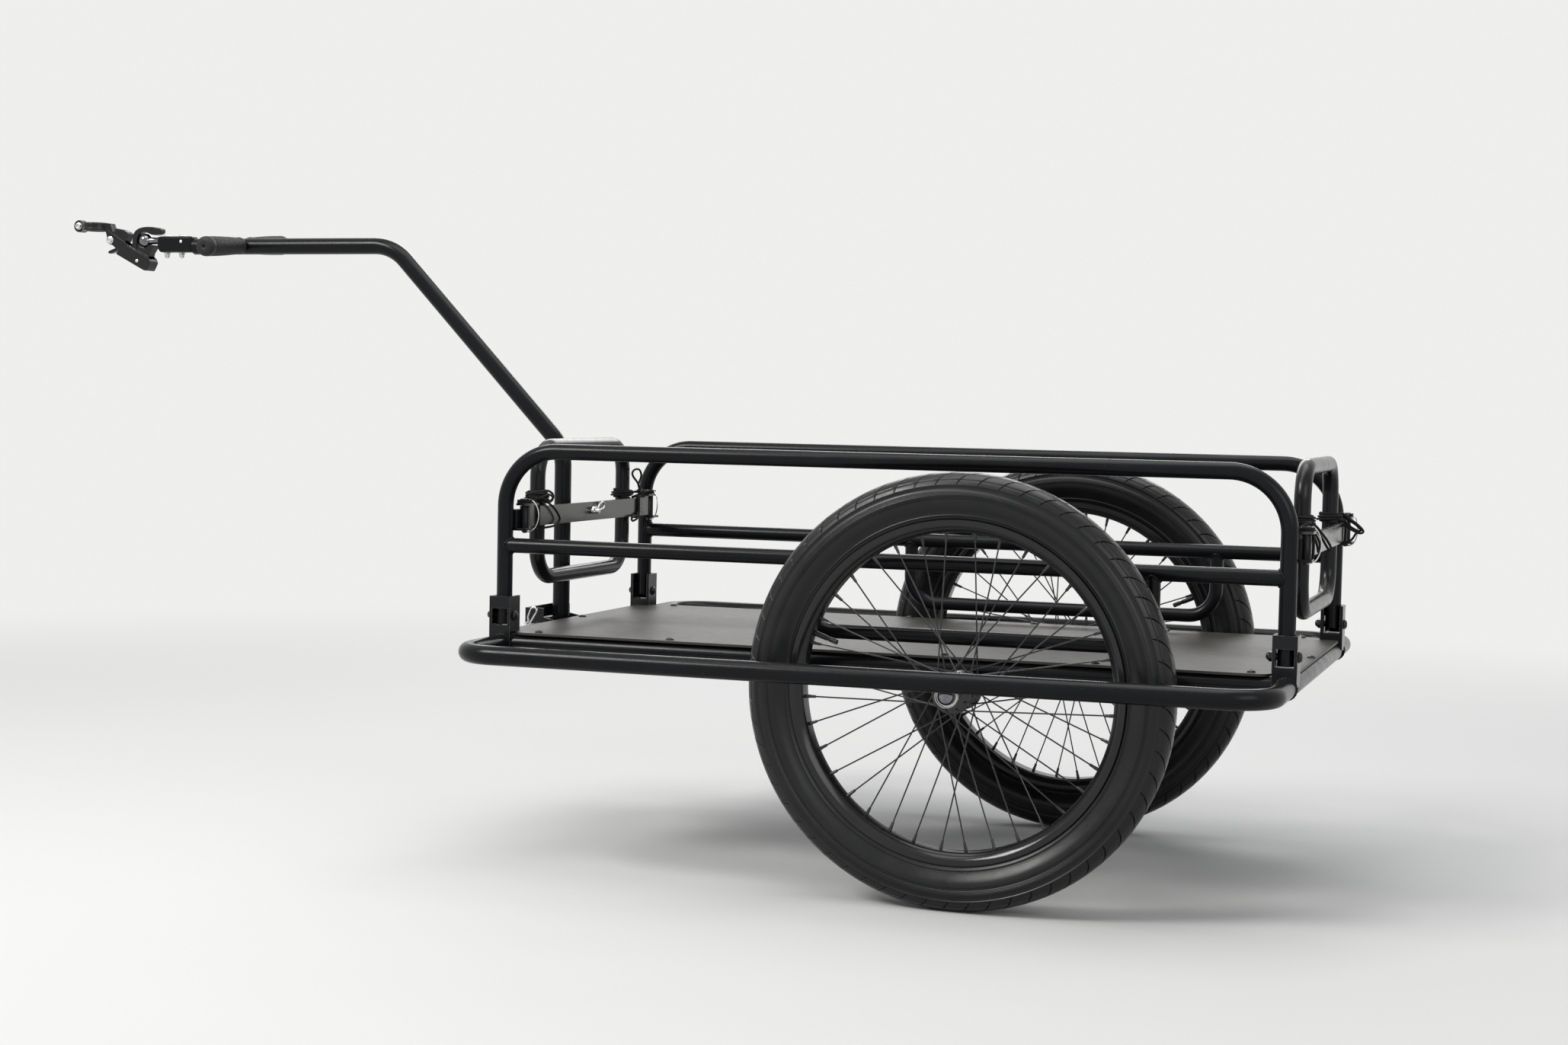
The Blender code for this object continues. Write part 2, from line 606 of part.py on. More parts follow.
# Deck, cut away at the four brackets
notch_front_x = PANEL_FRONT_X - plate_outer - OVERLAP
notch_rear_x = PANEL_REAR_X + plate_outer + OVERLAP
notch_y = BRACKET_INNER_Y - OVERLAP
deck_front_x = FRAME_FRONT_X + DECK_END_OVERHANG
deck_rear_x = FRAME_REAR_X - DECK_END_OVERHANG
deck_quarter = []
for x_end, x_notch in ((deck_front_x, notch_front_x), (deck_rear_x, notch_rear_x)):
    towards = 1 if x_end > x_notch else -1
    arc = []
    for step in range(BEND_STEPS + 1):
        angle = math.pi / 2 * step / BEND_STEPS
        arc.append((
            x_notch - towards * DECK_CORNER * (1 - math.sin(angle)),
            DECK_HALF_WIDTH - DECK_CORNER * (1 - math.cos(angle)),
        ))
    deck_quarter.append([*arc, (x_notch, notch_y), (x_end, notch_y)])
front_left, rear_left = deck_quarter
deck_outline = [
    *front_left, *((x, -y) for x, y in reversed(front_left)),
    *((x, -y) for x, y in rear_left), *reversed(rear_left),
]
deck = flat_plate("deck", deck_outline, deck_low_z, deck_high_z)
finish(deck, "deck_board", deck_board)

# Side panels: hoop, middle rail, hinge knuckles and the posts that hold the gates
panel_path = rounded_path((
    (PANEL_FRONT_X, FRAME_HALF_WIDTH, HINGE_Z), (PANEL_FRONT_X, FRAME_HALF_WIDTH, PANEL_TOP_Z),
    (PANEL_REAR_X, FRAME_HALF_WIDTH, PANEL_TOP_Z), (PANEL_REAR_X, FRAME_HALF_WIDTH, HINGE_Z),
), PANEL_BEND, steps=6)
panel = tube("panel", panel_path, (0, 1, 0), PANEL_RADIUS)
mid_rail = rod(
    "mid_rail", (PANEL_FRONT_X, FRAME_HALF_WIDTH, MID_RAIL_Z),
    (PANEL_REAR_X, FRAME_HALF_WIDTH, MID_RAIL_Z), PANEL_RADIUS - OVERLAP)
join(panel, mid_rail)
bar_front_x = FRONT_GATE_X - GATE_RADIUS - BAR_THICKNESS / 2 - GAP
bar_rear_x = REAR_GATE_X - GATE_RADIUS - BAR_THICKNESS / 2 - GAP
pin_clearance = PIN_RADIUS + BORE_CLEARANCE
for leg_x, post_x in ((PANEL_FRONT_X, bar_front_x), (PANEL_REAR_X, bar_rear_x)):
    knuckle = rod(
        "knuckle", (leg_x - PANEL_RADIUS, FRAME_HALF_WIDTH, HINGE_Z),
        (leg_x + PANEL_RADIUS, FRAME_HALF_WIDTH, HINGE_Z), PANEL_RADIUS - GAP)
    post = rod(
        "post", (post_x, PIN_POST_Y, POST_LOW_Z - TAB_THICKNESS / 2),
        (post_x, PIN_POST_Y, POST_HIGH_Z), PIN_POST_RADIUS)
    web_inner_x = post_x + PIN_POST_RADIUS * 0.4
    web = block(
        "web", (web_inner_x, PIN_POST_Y + 0.001, POST_LOW_Z - OVERLAP),
        (leg_x - 0.002, FRAME_HALF_WIDTH - 0.004, POST_HIGH_Z - 0.004))
    tab = block(
        "tab", (post_x - TAB_HALF_DEPTH, PIN_POST_Y - PIN_POST_RADIUS - 0.003, POST_LOW_Z - TAB_THICKNESS),
        (leg_x, FRAME_HALF_WIDTH - 0.005, POST_LOW_Z))
    join(panel, knuckle, post, web, tab)
    pin_bore = rod(
        "pin_bore", (post_x, PIN_POST_Y, POST_LOW_Z - CUT_REACH),
        (post_x, PIN_POST_Y, POST_HIGH_Z + CUT_REACH), pin_clearance)
    hinge_bore = rod(
        "hinge_bore", (leg_x - LONG_CUT_REACH, FRAME_HALF_WIDTH, HINGE_Z),
        (leg_x + LONG_CUT_REACH, FRAME_HALF_WIDTH, HINGE_Z), bolt_clearance)
    cut(panel, pin_bore, hinge_bore)
hinge_line = (PANEL_FRONT_X, FRAME_HALF_WIDTH, HINGE_Z)
finish(panel, "side_panel_left", frame_paint, hinge_line)
opposite(panel, "side_panel_right")

# Wheel guards under the middle rails
guard_path = rounded_path((
    (GUARD_FRONT_X, FRAME_HALF_WIDTH, MID_RAIL_Z), (GUARD_FRONT_X, FRAME_HALF_WIDTH, GUARD_Z),
    (GUARD_REAR_X, FRAME_HALF_WIDTH, GUARD_Z), (GUARD_REAR_X, FRAME_HALF_WIDTH, MID_RAIL_Z),
), GUARD_BEND, steps=5)
guard = tube("guard", guard_path, (0, 1, 0), PANEL_RADIUS - OVERLAP * 2)
rail_seat = rod(
    "rail_seat", (GUARD_FRONT_X + LONG_CUT_REACH, FRAME_HALF_WIDTH, MID_RAIL_Z),
    (GUARD_REAR_X - LONG_CUT_REACH, FRAME_HALF_WIDTH, MID_RAIL_Z), PANEL_RADIUS - OVERLAP + GAP)
over_rail = block(
    "over_rail", (GUARD_REAR_X - LONG_CUT_REACH, FRAME_HALF_WIDTH - LONG_CUT_REACH, MID_RAIL_Z - 0.002),
    (GUARD_FRONT_X + LONG_CUT_REACH, FRAME_HALF_WIDTH + LONG_CUT_REACH, MID_RAIL_Z + LONG_CUT_REACH))
cut(guard, rail_seat, over_rail)
finish(guard, "wheel_guard_left", frame_paint, hinge_line)
opposite(guard, "wheel_guard_right")

# Gates: a hoop and a flat bar whose ends reach over the posts
tab_low_z = POST_HIGH_Z + OVERLAP
tab_high_z = tab_low_z + TAB_THICKNESS
for end, hoop_x, bar_x in (("front", FRONT_GATE_X, bar_front_x), ("rear", REAR_GATE_X, bar_rear_x)):
    hoop_path = rounded_path((
        (hoop_x, -GATE_LEG_Y, GATE_BOTTOM_Z), (hoop_x, GATE_LEG_Y, GATE_BOTTOM_Z),
        (hoop_x, GATE_LEG_Y, GATE_TOP_Z), (hoop_x, -GATE_LEG_Y, GATE_TOP_Z),
    ), GATE_BEND, closed=True, steps=5)
    hoop = tube("hoop", hoop_path, (1, 0, 0), GATE_RADIUS, closed=True)
    finish(hoop, f"{end}_gate_hoop", frame_paint)
    face_low_x = bar_x - BAR_THICKNESS / 2
    face_high_x = bar_x + BAR_THICKNESS / 2
    bar = block("bar", (face_low_x, -BAR_HALF_LENGTH, BAR_LOW_Z), (face_high_x, BAR_HALF_LENGTH, BAR_HIGH_Z))
    seats = []
    for side in (-1, 1):
        low_y, high_y = sorted((side * (BAR_HALF_LENGTH - TAB_LAP), side * BAR_HALF_LENGTH))
        riser = block("riser", (face_low_x, low_y, BAR_HIGH_Z - 0.004), (face_high_x, high_y, tab_high_z))
        low_y, high_y = sorted((side * (BAR_HALF_LENGTH - TAB_LAP), side * (PIN_POST_Y + PIN_POST_RADIUS)))
        tab = block(
            "tab", (bar_x - TAB_HALF_DEPTH, low_y, tab_low_z), (bar_x + TAB_HALF_DEPTH, high_y, tab_high_z))
        join(bar, riser, tab)
        seats.append(rod(
            "seat", (bar_x, side * PIN_POST_Y, tab_low_z - CUT_REACH),
            (bar_x, side * PIN_POST_Y, tab_high_z + CUT_REACH), pin_clearance))
    if end == "front":
        seats.append(rod(
            "pin_hole", (bar_x - CUT_REACH, 0, BAR_PIN_Z), (bar_x + CUT_REACH, 0, BAR_PIN_Z), pin_clearance))
    cut(bar, *seats)
    finish(bar, f"{end}_gate_bar", frame_paint)
    head_z = tab_high_z + GAP
    pin_profile = (
        (PIN_RADIUS * 0.6, POST_LOW_Z - 0.0065), (PIN_RADIUS, POST_LOW_Z - 0.0045), (PIN_RADIUS, head_z),
        (PIN_HEAD_RADIUS, head_z), (PIN_HEAD_RADIUS, head_z + PIN_HEAD_HEIGHT * 0.7),
        (PIN_HEAD_RADIUS * 0.7, head_z + PIN_HEAD_HEIGHT),
    )
    pin = turned("pin", pin_profile, (bar_x, PIN_POST_Y, 0), (0, 0, 1), SMALL_SIDES)
    finish(pin, f"{end}_gate_pin_left", bright_steel, (bar_x, PIN_POST_Y, head_z))
    opposite(pin, f"{end}_gate_pin_right")

    wrap_inner = around(GATE_RADIUS)
    wrap_profile = [(wrap_inner, LANYARD_LOW_Z)]
    for wrap in range(LANYARD_WRAPS):
        for step in range(3):
            angle = math.pi * (step + 0.5) / 3 - math.pi / 2
            wrap_profile.append((
                wrap_inner + LANYARD_RADIUS * (0.6 + 1.2 * math.cos(angle)),
                LANYARD_LOW_Z + LANYARD_RADIUS * (2 * wrap + 1 + math.sin(angle)),
            ))
    wrap_profile.append((wrap_inner, LANYARD_LOW_Z + 2 * LANYARD_RADIUS * LANYARD_WRAPS))
    lanyard = turned("lanyard", wrap_profile, (hoop_x, GATE_LEG_Y, 0), (0, 0, 1), SIDES, closed=True)
    knot = Vector((hoop_x - wrap_inner, GATE_LEG_Y + 0.004, LANYARD_LOW_Z + LANYARD_RADIUS * 4))
    eye = Vector((bar_x, PIN_POST_Y - PIN_HEAD_RADIUS - LANYARD_RADIUS - GAP, head_z + LANYARD_RADIUS))
    strand_points = []
    for step in range(7):
        share = step / 6
        sag = -LANYARD_SAG * math.sin(math.pi * share)
        point = knot.lerp(eye, share)
        strand_points.append((point.x + 0.7 * sag, point.y, point.z - 0.25 * sag))
    strand_normal = (eye - knot).cross(Vector((-0.7, 0, 0.25)))
    strand = tube("strand", strand_points, strand_normal, LANYARD_RADIUS, sides=6)
    join(lanyard, strand)
    finish(lanyard, f"lanyard_{end}_left", black_cord)
    opposite(lanyard, f"lanyard_{end}_right")

# Bracket that holds the foot of the drawbar
foot_outline = (
    (FOOT_STEP_X, FOOT_TOP_Z), (FOOT_STEP_X, FOOT_STEP_Z), (FOOT_LAP_X, FOOT_LAP_Z),
    (FOOT_LAP_X, FOOT_LOW_Z), (FOOT_FRONT_X, FOOT_LOW_Z), (FOOT_FRONT_X, FOOT_TOP_Z),
)
foot_cut_y = FOOT_HALF_WIDTH + CUT_REACH
foot_bracket = side_plate("foot", foot_outline, -FOOT_HALF_WIDTH, FOOT_HALF_WIDTH)
foot_inside = block(
    "inside", (FRAME_FRONT_X - CUT_REACH, -FOOT_HALF_WIDTH + FOOT_PLATE, FOOT_LOW_Z + FOOT_PLATE),
    (FOOT_FRONT_X - FOOT_PLATE, FOOT_HALF_WIDTH - FOOT_PLATE, FOOT_TOP_Z + CUT_REACH))
foot_tube_seat = end_tube("foot_tube_seat", FRAME_FRONT_X)
foot_bore = rod(
    "foot_bore", (FOOT_PIN_X, -foot_cut_y, FOOT_PIN_Z), (FOOT_PIN_X, foot_cut_y, FOOT_PIN_Z), pin_clearance)
cut(foot_bracket, foot_inside, foot_tube_seat, foot_bore)
finish(foot_bracket, "drawbar_foot_bracket", frame_paint)

# Drawbar with its boss and its forked foot
drawbar_path = rounded_path((
    (DRAWBAR_X, 0, FOOT_PIN_Z), (DRAWBAR_X, 0, DRAWBAR_LOW_CORNER_Z),
    (DRAWBAR_HIGH_CORNER_X, 0, DRAWBAR_TOP_Z), (DRAWBAR_END_X, 0, DRAWBAR_TOP_Z),
), DRAWBAR_BEND, steps=6)
drawbar = tube("drawbar", drawbar_path, (0, 1, 0), DRAWBAR_RADIUS)
foot_reach = FOOT_HALF_WIDTH - FOOT_PLATE - GAP * 2
foot_tube = rod(
    "foot_tube", (FOOT_PIN_X, -foot_reach, FOOT_PIN_Z), (FOOT_PIN_X, foot_reach, FOOT_PIN_Z),
    FOOT_TUBE_RADIUS)
bar_face_x = bar_front_x + BAR_THICKNESS / 2
boss = rod("boss", (bar_face_x + GAP, 0, BAR_PIN_Z), (DRAWBAR_X, 0, BAR_PIN_Z), BOSS_RADIUS)
join(drawbar, foot_tube, boss)
drawbar_front_x = DRAWBAR_X + DRAWBAR_RADIUS
foot_fork = block(
    "fork", (FOOT_PIN_X - pin_clearance - GAP, -foot_cut_y, FOOT_LOW_Z),
    (FOOT_PIN_X + pin_clearance + GAP, foot_cut_y, FOOT_PIN_Z))
foot_round = rod(
    "foot_round", (FOOT_PIN_X, -foot_cut_y, FOOT_PIN_Z), (FOOT_PIN_X, foot_cut_y, FOOT_PIN_Z),
    pin_clearance + GAP)
boss_bore = rod(
    "boss_bore", (bar_face_x - CUT_REACH, 0, BAR_PIN_Z), (drawbar_front_x + CUT_REACH, 0, BAR_PIN_Z),
    pin_clearance)
handle_bore = rod(
    "handle_bore", HANDLE_MIDDLE - HANDLE_AXIS * LONG_CUT_REACH,
    HANDLE_MIDDLE + HANDLE_AXIS * LONG_CUT_REACH,
    HANDLE_RADIUS + BORE_CLEARANCE)
spigot_bore = rod(
    "spigot_bore", (DRAWBAR_END_X - SPIGOT_LENGTH - GAP, 0, DRAWBAR_TOP_Z),
    (DRAWBAR_END_X + CUT_REACH, 0, DRAWBAR_TOP_Z), SPIGOT_RADIUS + BORE_CLEARANCE)
cut(drawbar, foot_fork, foot_round, boss_bore, handle_bore, spigot_bore)
finish(drawbar, "drawbar_tube", frame_paint)

# Pins with spring clips at the foot and at the gate bar
foot_head_y = FOOT_HALF_WIDTH + GAP
foot_pin_profile = (
    (PIN_HEAD_RADIUS * 0.8, -foot_head_y - 0.004), (PIN_HEAD_RADIUS, -foot_head_y - 0.003),
    (PIN_HEAD_RADIUS, -foot_head_y), (PIN_RADIUS, -foot_head_y), (PIN_RADIUS, FOOT_HALF_WIDTH + 0.009),
    (PIN_RADIUS * 0.6, FOOT_HALF_WIDTH + 0.011),
)
foot_pin = turned("foot_pin", foot_pin_profile, (FOOT_PIN_X, 0, FOOT_PIN_Z), (0, 1, 0), SMALL_SIDES)
bar_head_x = drawbar_front_x + 0.001
bar_tail_x = bar_front_x - BAR_THICKNESS / 2
bar_pin_profile = (
    (PIN_RADIUS * 0.6, bar_tail_x - 0.011), (PIN_RADIUS, bar_tail_x - 0.009), (PIN_RADIUS, bar_head_x),
    (PIN_HEAD_RADIUS, bar_head_x), (PIN_HEAD_RADIUS, bar_head_x + 0.003),
    (PIN_HEAD_RADIUS * 0.8, bar_head_x + 0.004),
)
bar_pin = turned("bar_pin", bar_pin_profile, (0, 0, BAR_PIN_Z), (1, 0, 0), SMALL_SIDES)


def spring_clip(name, centre, along, across):
    """A spring clip: a straight leg through a pin and a second leg that waves over it."""
    centre = Vector(centre)
    along = Vector(along).normalized()
    across = Vector(across).normalized()
    points = [centre - along * CLIP_TAIL, centre + along * (CLIP_LENGTH * 0.55)]
    for step in range(9):
        angle = math.radians(-100 + 200 * step / 8)
        arm = along * (math.cos(angle) * CLIP_LOOP_RADIUS) + across * (math.sin(angle) * CLIP_LOOP_RADIUS)
        points.append(centre + along * CLIP_LENGTH + across * CLIP_LOOP_RADIUS + arm)
    wave_out = PIN_RADIUS + CLIP_WIRE_RADIUS + GAP
    for share, height in CLIP_WAVE:
        points.append(centre + along * (CLIP_LENGTH * share) + across * (wave_out * height))
    return tube(name, points, along.cross(across), CLIP_WIRE_RADIUS, sides=6)


foot_clip_y = FOOT_HALF_WIDTH + CLIP_STANDOFF
bar_clip_x = bar_tail_x - CLIP_STANDOFF
clip_hole = CLIP_WIRE_RADIUS + GAP
foot_clip_along = Vector((-0.20, 0, 0.98)).normalized()
foot_clip = spring_clip(
    "foot_clip", (FOOT_PIN_X, foot_clip_y, FOOT_PIN_Z), foot_clip_along, (-0.98, 0, -0.20))
cut(foot_pin, rod(
    "foot_hole", Vector((FOOT_PIN_X, foot_clip_y, FOOT_PIN_Z)) - foot_clip_along * 0.02,
    Vector((FOOT_PIN_X, foot_clip_y, FOOT_PIN_Z)) + foot_clip_along * 0.02, clip_hole, 12))
bar_clip_along = Vector((0, -1, 0.12)).normalized()
bar_clip = spring_clip("bar_clip", (bar_clip_x, 0, BAR_PIN_Z), bar_clip_along, (0, 0.12, 1))
cut(bar_pin, rod(
    "bar_hole", Vector((bar_clip_x, 0, BAR_PIN_Z)) - bar_clip_along * 0.02,
    Vector((bar_clip_x, 0, BAR_PIN_Z)) + bar_clip_along * 0.02, clip_hole, 12))
finish(foot_pin, "foot_pin", bright_steel, (FOOT_PIN_X, 0, FOOT_PIN_Z))
finish(foot_clip, "foot_pin_clip", bright_steel, (FOOT_PIN_X, foot_clip_y, FOOT_PIN_Z))
finish(bar_pin, "gate_bar_pin", bright_steel, (bar_front_x, 0, BAR_PIN_Z))
finish(bar_clip, "gate_bar_pin_clip", bright_steel, (bar_clip_x, 0, BAR_PIN_Z))

# Cross handle and its two grips
handle = rod(
    "handle", HANDLE_MIDDLE - HANDLE_AXIS * HANDLE_HALF_LENGTH,
    HANDLE_MIDDLE + HANDLE_AXIS * HANDLE_HALF_LENGTH,
    HANDLE_RADIUS)
finish(handle, "handle_cross_tube", frame_paint)
grip_start = DRAWBAR_RADIUS + 0.002
handle_fit = HANDLE_RADIUS + GAP
grip_middle = (grip_start + GRIP_END_Y) / 2
grip_profile = (
    (handle_fit, grip_start), (GRIP_NECK_RADIUS, grip_start), (GRIP_NECK_RADIUS, grip_start + 0.006),
    ((GRIP_NECK_RADIUS + GRIP_RADIUS) / 2, grip_middle), (GRIP_RADIUS, GRIP_END_Y - 0.015),
    (GRIP_RADIUS, GRIP_END_Y - 0.003), (GRIP_RADIUS * 0.75, GRIP_END_Y), (GRIP_RADIUS * 0.05, GRIP_END_Y),
    (GRIP_RADIUS * 0.05, HANDLE_HALF_LENGTH + GAP), (handle_fit, HANDLE_HALF_LENGTH + GAP),
)
for name, grip_axis in (("left", HANDLE_AXIS), ("right", -HANDLE_AXIS)):
    grip = turned("grip", grip_profile, HANDLE_MIDDLE, grip_axis, closed=True)
    finish(grip, f"grip_{name}", grip_rubber)

# End fitting, ball and their bolts
fitting_outline = (
    (DRAWBAR_END_X + GAP, FITTING_LOW_Z), (FITTING_END_X - FITTING_CHAMFER, FITTING_LOW_Z),
    (FITTING_END_X - FITTING_CHAMFER / 4, FITTING_LOW_Z + FITTING_CHAMFER * 0.8),
    (FITTING_END_X, FITTING_LOW_Z + FITTING_CHAMFER * 2),
    (FITTING_END_X, FITTING_HIGH_Z - FITTING_CHAMFER / 2),
    (FITTING_END_X - FITTING_CHAMFER, FITTING_HIGH_Z), (DRAWBAR_END_X + GAP, FITTING_HIGH_Z),
)
fitting = side_plate("fitting", fitting_outline, -FITTING_HALF_WIDTH, FITTING_HALF_WIDTH)
spigot = rod(
    "spigot", (DRAWBAR_END_X - SPIGOT_LENGTH, 0, DRAWBAR_TOP_Z),
    (DRAWBAR_END_X + CUT_REACH / 2, 0, DRAWBAR_TOP_Z), SPIGOT_RADIUS)
join(fitting, spigot)
stem_bore = rod(
    "stem_bore", (STEM_START_X - GAP, 0, BALL_Z), (FITTING_END_X + CUT_REACH, 0, BALL_Z),
    STEM_RADIUS + BORE_CLEARANCE)
bolt_bores = []
for bolt_x in FITTING_BOLT_XS:
    bolt_bores.append(rod(
        "bolt_bore", (bolt_x, 0, FITTING_LOW_Z - CUT_REACH), (bolt_x, 0, FITTING_HIGH_Z + CUT_REACH),
        FITTING_BOLT_RADIUS + BORE_CLEARANCE))
cut(fitting, stem_bore, *bolt_bores)
finish(fitting, "drawbar_end_fitting", frame_paint)
ball_profile = [
    (STEM_RADIUS, STEM_START_X - BALL_X), (STEM_RADIUS, GAP - BALL_REACH),
    (COLLAR_RADIUS, GAP - BALL_REACH), (COLLAR_RADIUS, 0.002 - BALL_REACH),
    (NECK_RADIUS, 0.007 - BALL_REACH),
]
neck_angle = math.asin(NECK_RADIUS / BALL_RADIUS)
for step in range(8):
    angle = neck_angle + (math.pi - neck_angle - 0.08) * step / 7
    ball_profile.append((BALL_RADIUS * math.sin(angle), -BALL_RADIUS * math.cos(angle)))
ball = turned("ball", ball_profile, (BALL_X, 0, BALL_Z), (1, 0, 0), 18)
finish(ball, "hitch_ball", chrome_ball, (BALL_X, 0, BALL_Z))
for name, bolt_x in zip(("rear", "front"), FITTING_BOLT_XS):
    bolt_profile = (
        (0.0018, FITTING_LOW_Z - 0.0085), (0.0034, FITTING_LOW_Z - 0.0062), (0.0036, FITTING_LOW_Z - 0.0040),
        (0.0042, FITTING_LOW_Z - 0.0036), (0.0042, FITTING_LOW_Z - GAP),
        (FITTING_BOLT_RADIUS, FITTING_LOW_Z - GAP), (FITTING_BOLT_RADIUS, FITTING_HIGH_Z + GAP),
        (0.0045, FITTING_HIGH_Z + GAP), (0.0040, FITTING_HIGH_Z + 0.0022), (0.0022, FITTING_HIGH_Z + 0.0031),
    )
    fitting_bolt = turned("fitting_bolt", bolt_profile, (bolt_x, 0, 0), (0, 0, 1), SMALL_SIDES)
    finish(fitting_bolt, f"fitting_bolt_{name}", bright_steel)

# Hitch head: two cheeks, the cup under the ball and two cross pins
head = side_plate("head", at_ball(CHEEK_OUTLINE), CHEEK_INNER_Y, CHEEK_OUTER_Y)
far_cheek = side_plate("far_cheek", at_ball(CHEEK_OUTLINE), -CHEEK_OUTER_Y, -CHEEK_INNER_Y)
cup_half = CHEEK_INNER_Y + OVERLAP
cup = side_plate("cup", at_ball(CUP_OUTLINE), -cup_half, cup_half)
arm = side_plate("arm", at_ball(ARM_OUTLINE), -cup_half, cup_half)
tongue = side_plate("tongue", at_ball(TONGUE_OUTLINE), -TONGUE_HALF_WIDTH, TONGUE_HALF_WIDTH)
claw_pin = rod(
    "claw_pin", (CLAW_PIVOT[0], -cup_half, CLAW_PIVOT[1]), (CLAW_PIVOT[0], cup_half, CLAW_PIVOT[1]),
    CLAW_PIN_RADIUS, SMALL_SIDES)
join(head, cup, arm, tongue, claw_pin, far_cheek)
ball_room = turned(
    "ball_room",
    [((BALL_RADIUS + GAP) * math.sin(math.pi * (step + 0.15) / 9.3),
      -(BALL_RADIUS + GAP) * math.cos(math.pi * (step + 0.15) / 9.3)) for step in range(10)],
    (BALL_X, 0, BALL_Z), (1, 0, 0), 18)
rear_bolt_bore = rod(
    "rear_bolt_bore", (CLAMP_REAR_BOLT[0], -LONG_CUT_REACH, CLAMP_REAR_BOLT[1]),
    (CLAMP_REAR_BOLT[0], LONG_CUT_REACH, CLAMP_REAR_BOLT[1]), CLAMP_BOLT_RADIUS + BORE_CLEARANCE)
lever_pin_reach = LEVER_OUTER_Y + 0.001
lever_pin = rod(
    "lever_pin", (LEVER_PIVOT[0], -lever_pin_reach, LEVER_PIVOT[1]),
    (LEVER_PIVOT[0], lever_pin_reach, LEVER_PIVOT[1]), LEVER_PIN_RADIUS, SMALL_SIDES)
cut(head, ball_room, rear_bolt_bore)
join(head, lever_pin)
finish(head, "hitch_head", black_steel, (BALL_X, 0, BALL_Z))

claw = side_plate("claw", at_ball(CLAW_OUTLINE), -CLAW_HALF_WIDTH, CLAW_HALF_WIDTH)
cut(claw, rod(
    "claw_bore", (CLAW_PIVOT[0], -LONG_CUT_REACH, CLAW_PIVOT[1]),
    (CLAW_PIVOT[0], LONG_CUT_REACH, CLAW_PIVOT[1]), CLAW_PIN_RADIUS + BORE_CLEARANCE, SMALL_SIDES))
finish(claw, "hitch_claw", black_steel, (CLAW_PIVOT[0], 0, CLAW_PIVOT[1]))

lever = side_plate("lever", at_ball(LEVER_OUTLINE), LEVER_INNER_Y, LEVER_OUTER_Y)
lever_half = LEVER_OUTER_Y - OVERLAP
lever_rear = side_plate("lever_rear", at_ball(LEVER_REAR_OUTLINE), -lever_half, lever_half)
lever_sole = side_plate("lever_sole", at_ball(LEVER_SOLE_OUTLINE), -lever_half, lever_half)
far_lever = side_plate("far_lever", at_ball(LEVER_OUTLINE), -LEVER_OUTER_Y, -LEVER_INNER_Y)
join(lever, lever_rear, lever_sole, far_lever)
cut(lever, rod(
    "lever_bore", (LEVER_PIVOT[0], -LONG_CUT_REACH, LEVER_PIVOT[1]),
    (LEVER_PIVOT[0], LONG_CUT_REACH, LEVER_PIVOT[1]), LEVER_PIN_RADIUS + BORE_CLEARANCE, SMALL_SIDES))
finish(lever, "hitch_lever", black_steel, (LEVER_PIVOT[0], 0, LEVER_PIVOT[1]))

# Clamp halves and their bolts
clamp = turned("clamp", (
    (CLAMP_BORE, CLAMP_LOW_Z), (CLAMP_RADIUS, CLAMP_LOW_Z), (CLAMP_RADIUS, CLAMP_HIGH_Z),
    (CLAMP_BORE, CLAMP_HIGH_Z)), (CLAMP_X, 0, 0), (0, 0, 1), 32, closed=True)
lug_low_z = CLAMP_LOW_Z + CLAMP_LUG_INSET
lug_high_z = CLAMP_HIGH_Z - CLAMP_LUG_INSET
rear_lug_outline = [(CLAMP_X - CLAMP_BORE - CLAMP_LUG_LAP, lug_high_z), (REAR_LUG_NECK_X, lug_high_z)]
for step in range(9):
    angle = math.radians(180 + 180 * step / 8)
    rear_lug_outline.append((
        CLAMP_REAR_BOLT[0] + CLAMP_REAR_LUG_RADIUS * math.cos(angle),
        CLAMP_REAR_BOLT[1] + CLAMP_REAR_LUG_RADIUS * math.sin(angle),
    ))
front_lug_outline = [(CLAMP_X + CLAMP_BORE + CLAMP_LUG_LAP, lug_low_z)]
for step in range(9):
    angle = math.radians(-90 + 180 * step / 8)
    front_lug_outline.append((
        CLAMP_FRONT_BOLT[0] + CLAMP_FRONT_LUG_RADIUS * math.cos(angle),
        CLAMP_FRONT_BOLT[1] + CLAMP_FRONT_LUG_RADIUS * math.sin(angle),
    ))
front_lug_outline.append((CLAMP_X + CLAMP_BORE + CLAMP_LUG_LAP, lug_high_z))
join(
    clamp, side_plate("rear_lug", rear_lug_outline, -CLAMP_LUG_HALF_WIDTH, CLAMP_LUG_HALF_WIDTH),
    side_plate("front_lug", front_lug_outline, -CLAMP_LUG_HALF_WIDTH, CLAMP_LUG_HALF_WIDTH))
bolt_holes = []
for bolt_x, bolt_z in (CLAMP_REAR_BOLT, CLAMP_FRONT_BOLT):
    bolt_holes.append(rod(
        "bolt_hole", (bolt_x, -LONG_CUT_REACH, bolt_z), (bolt_x, LONG_CUT_REACH, bolt_z),
        CLAMP_BOLT_RADIUS + BORE_CLEARANCE))
other_half = block(
    "other_half", (CLAMP_REAR_BOLT[0] - CUT_REACH, -LONG_CUT_REACH, CLAMP_REAR_BOLT[1] - CUT_REACH),
    (CLAMP_FRONT_BOLT[0] + CUT_REACH, GAP / 2, CLAMP_HIGH_Z + CUT_REACH))
cut(clamp, *bolt_holes, other_half)
tilt_axis = (CLAMP_REAR_BOLT[0], 0, CLAMP_REAR_BOLT[1])
finish(clamp, "clamp_half_left", black_steel, tilt_axis)
opposite(clamp, "clamp_half_right")
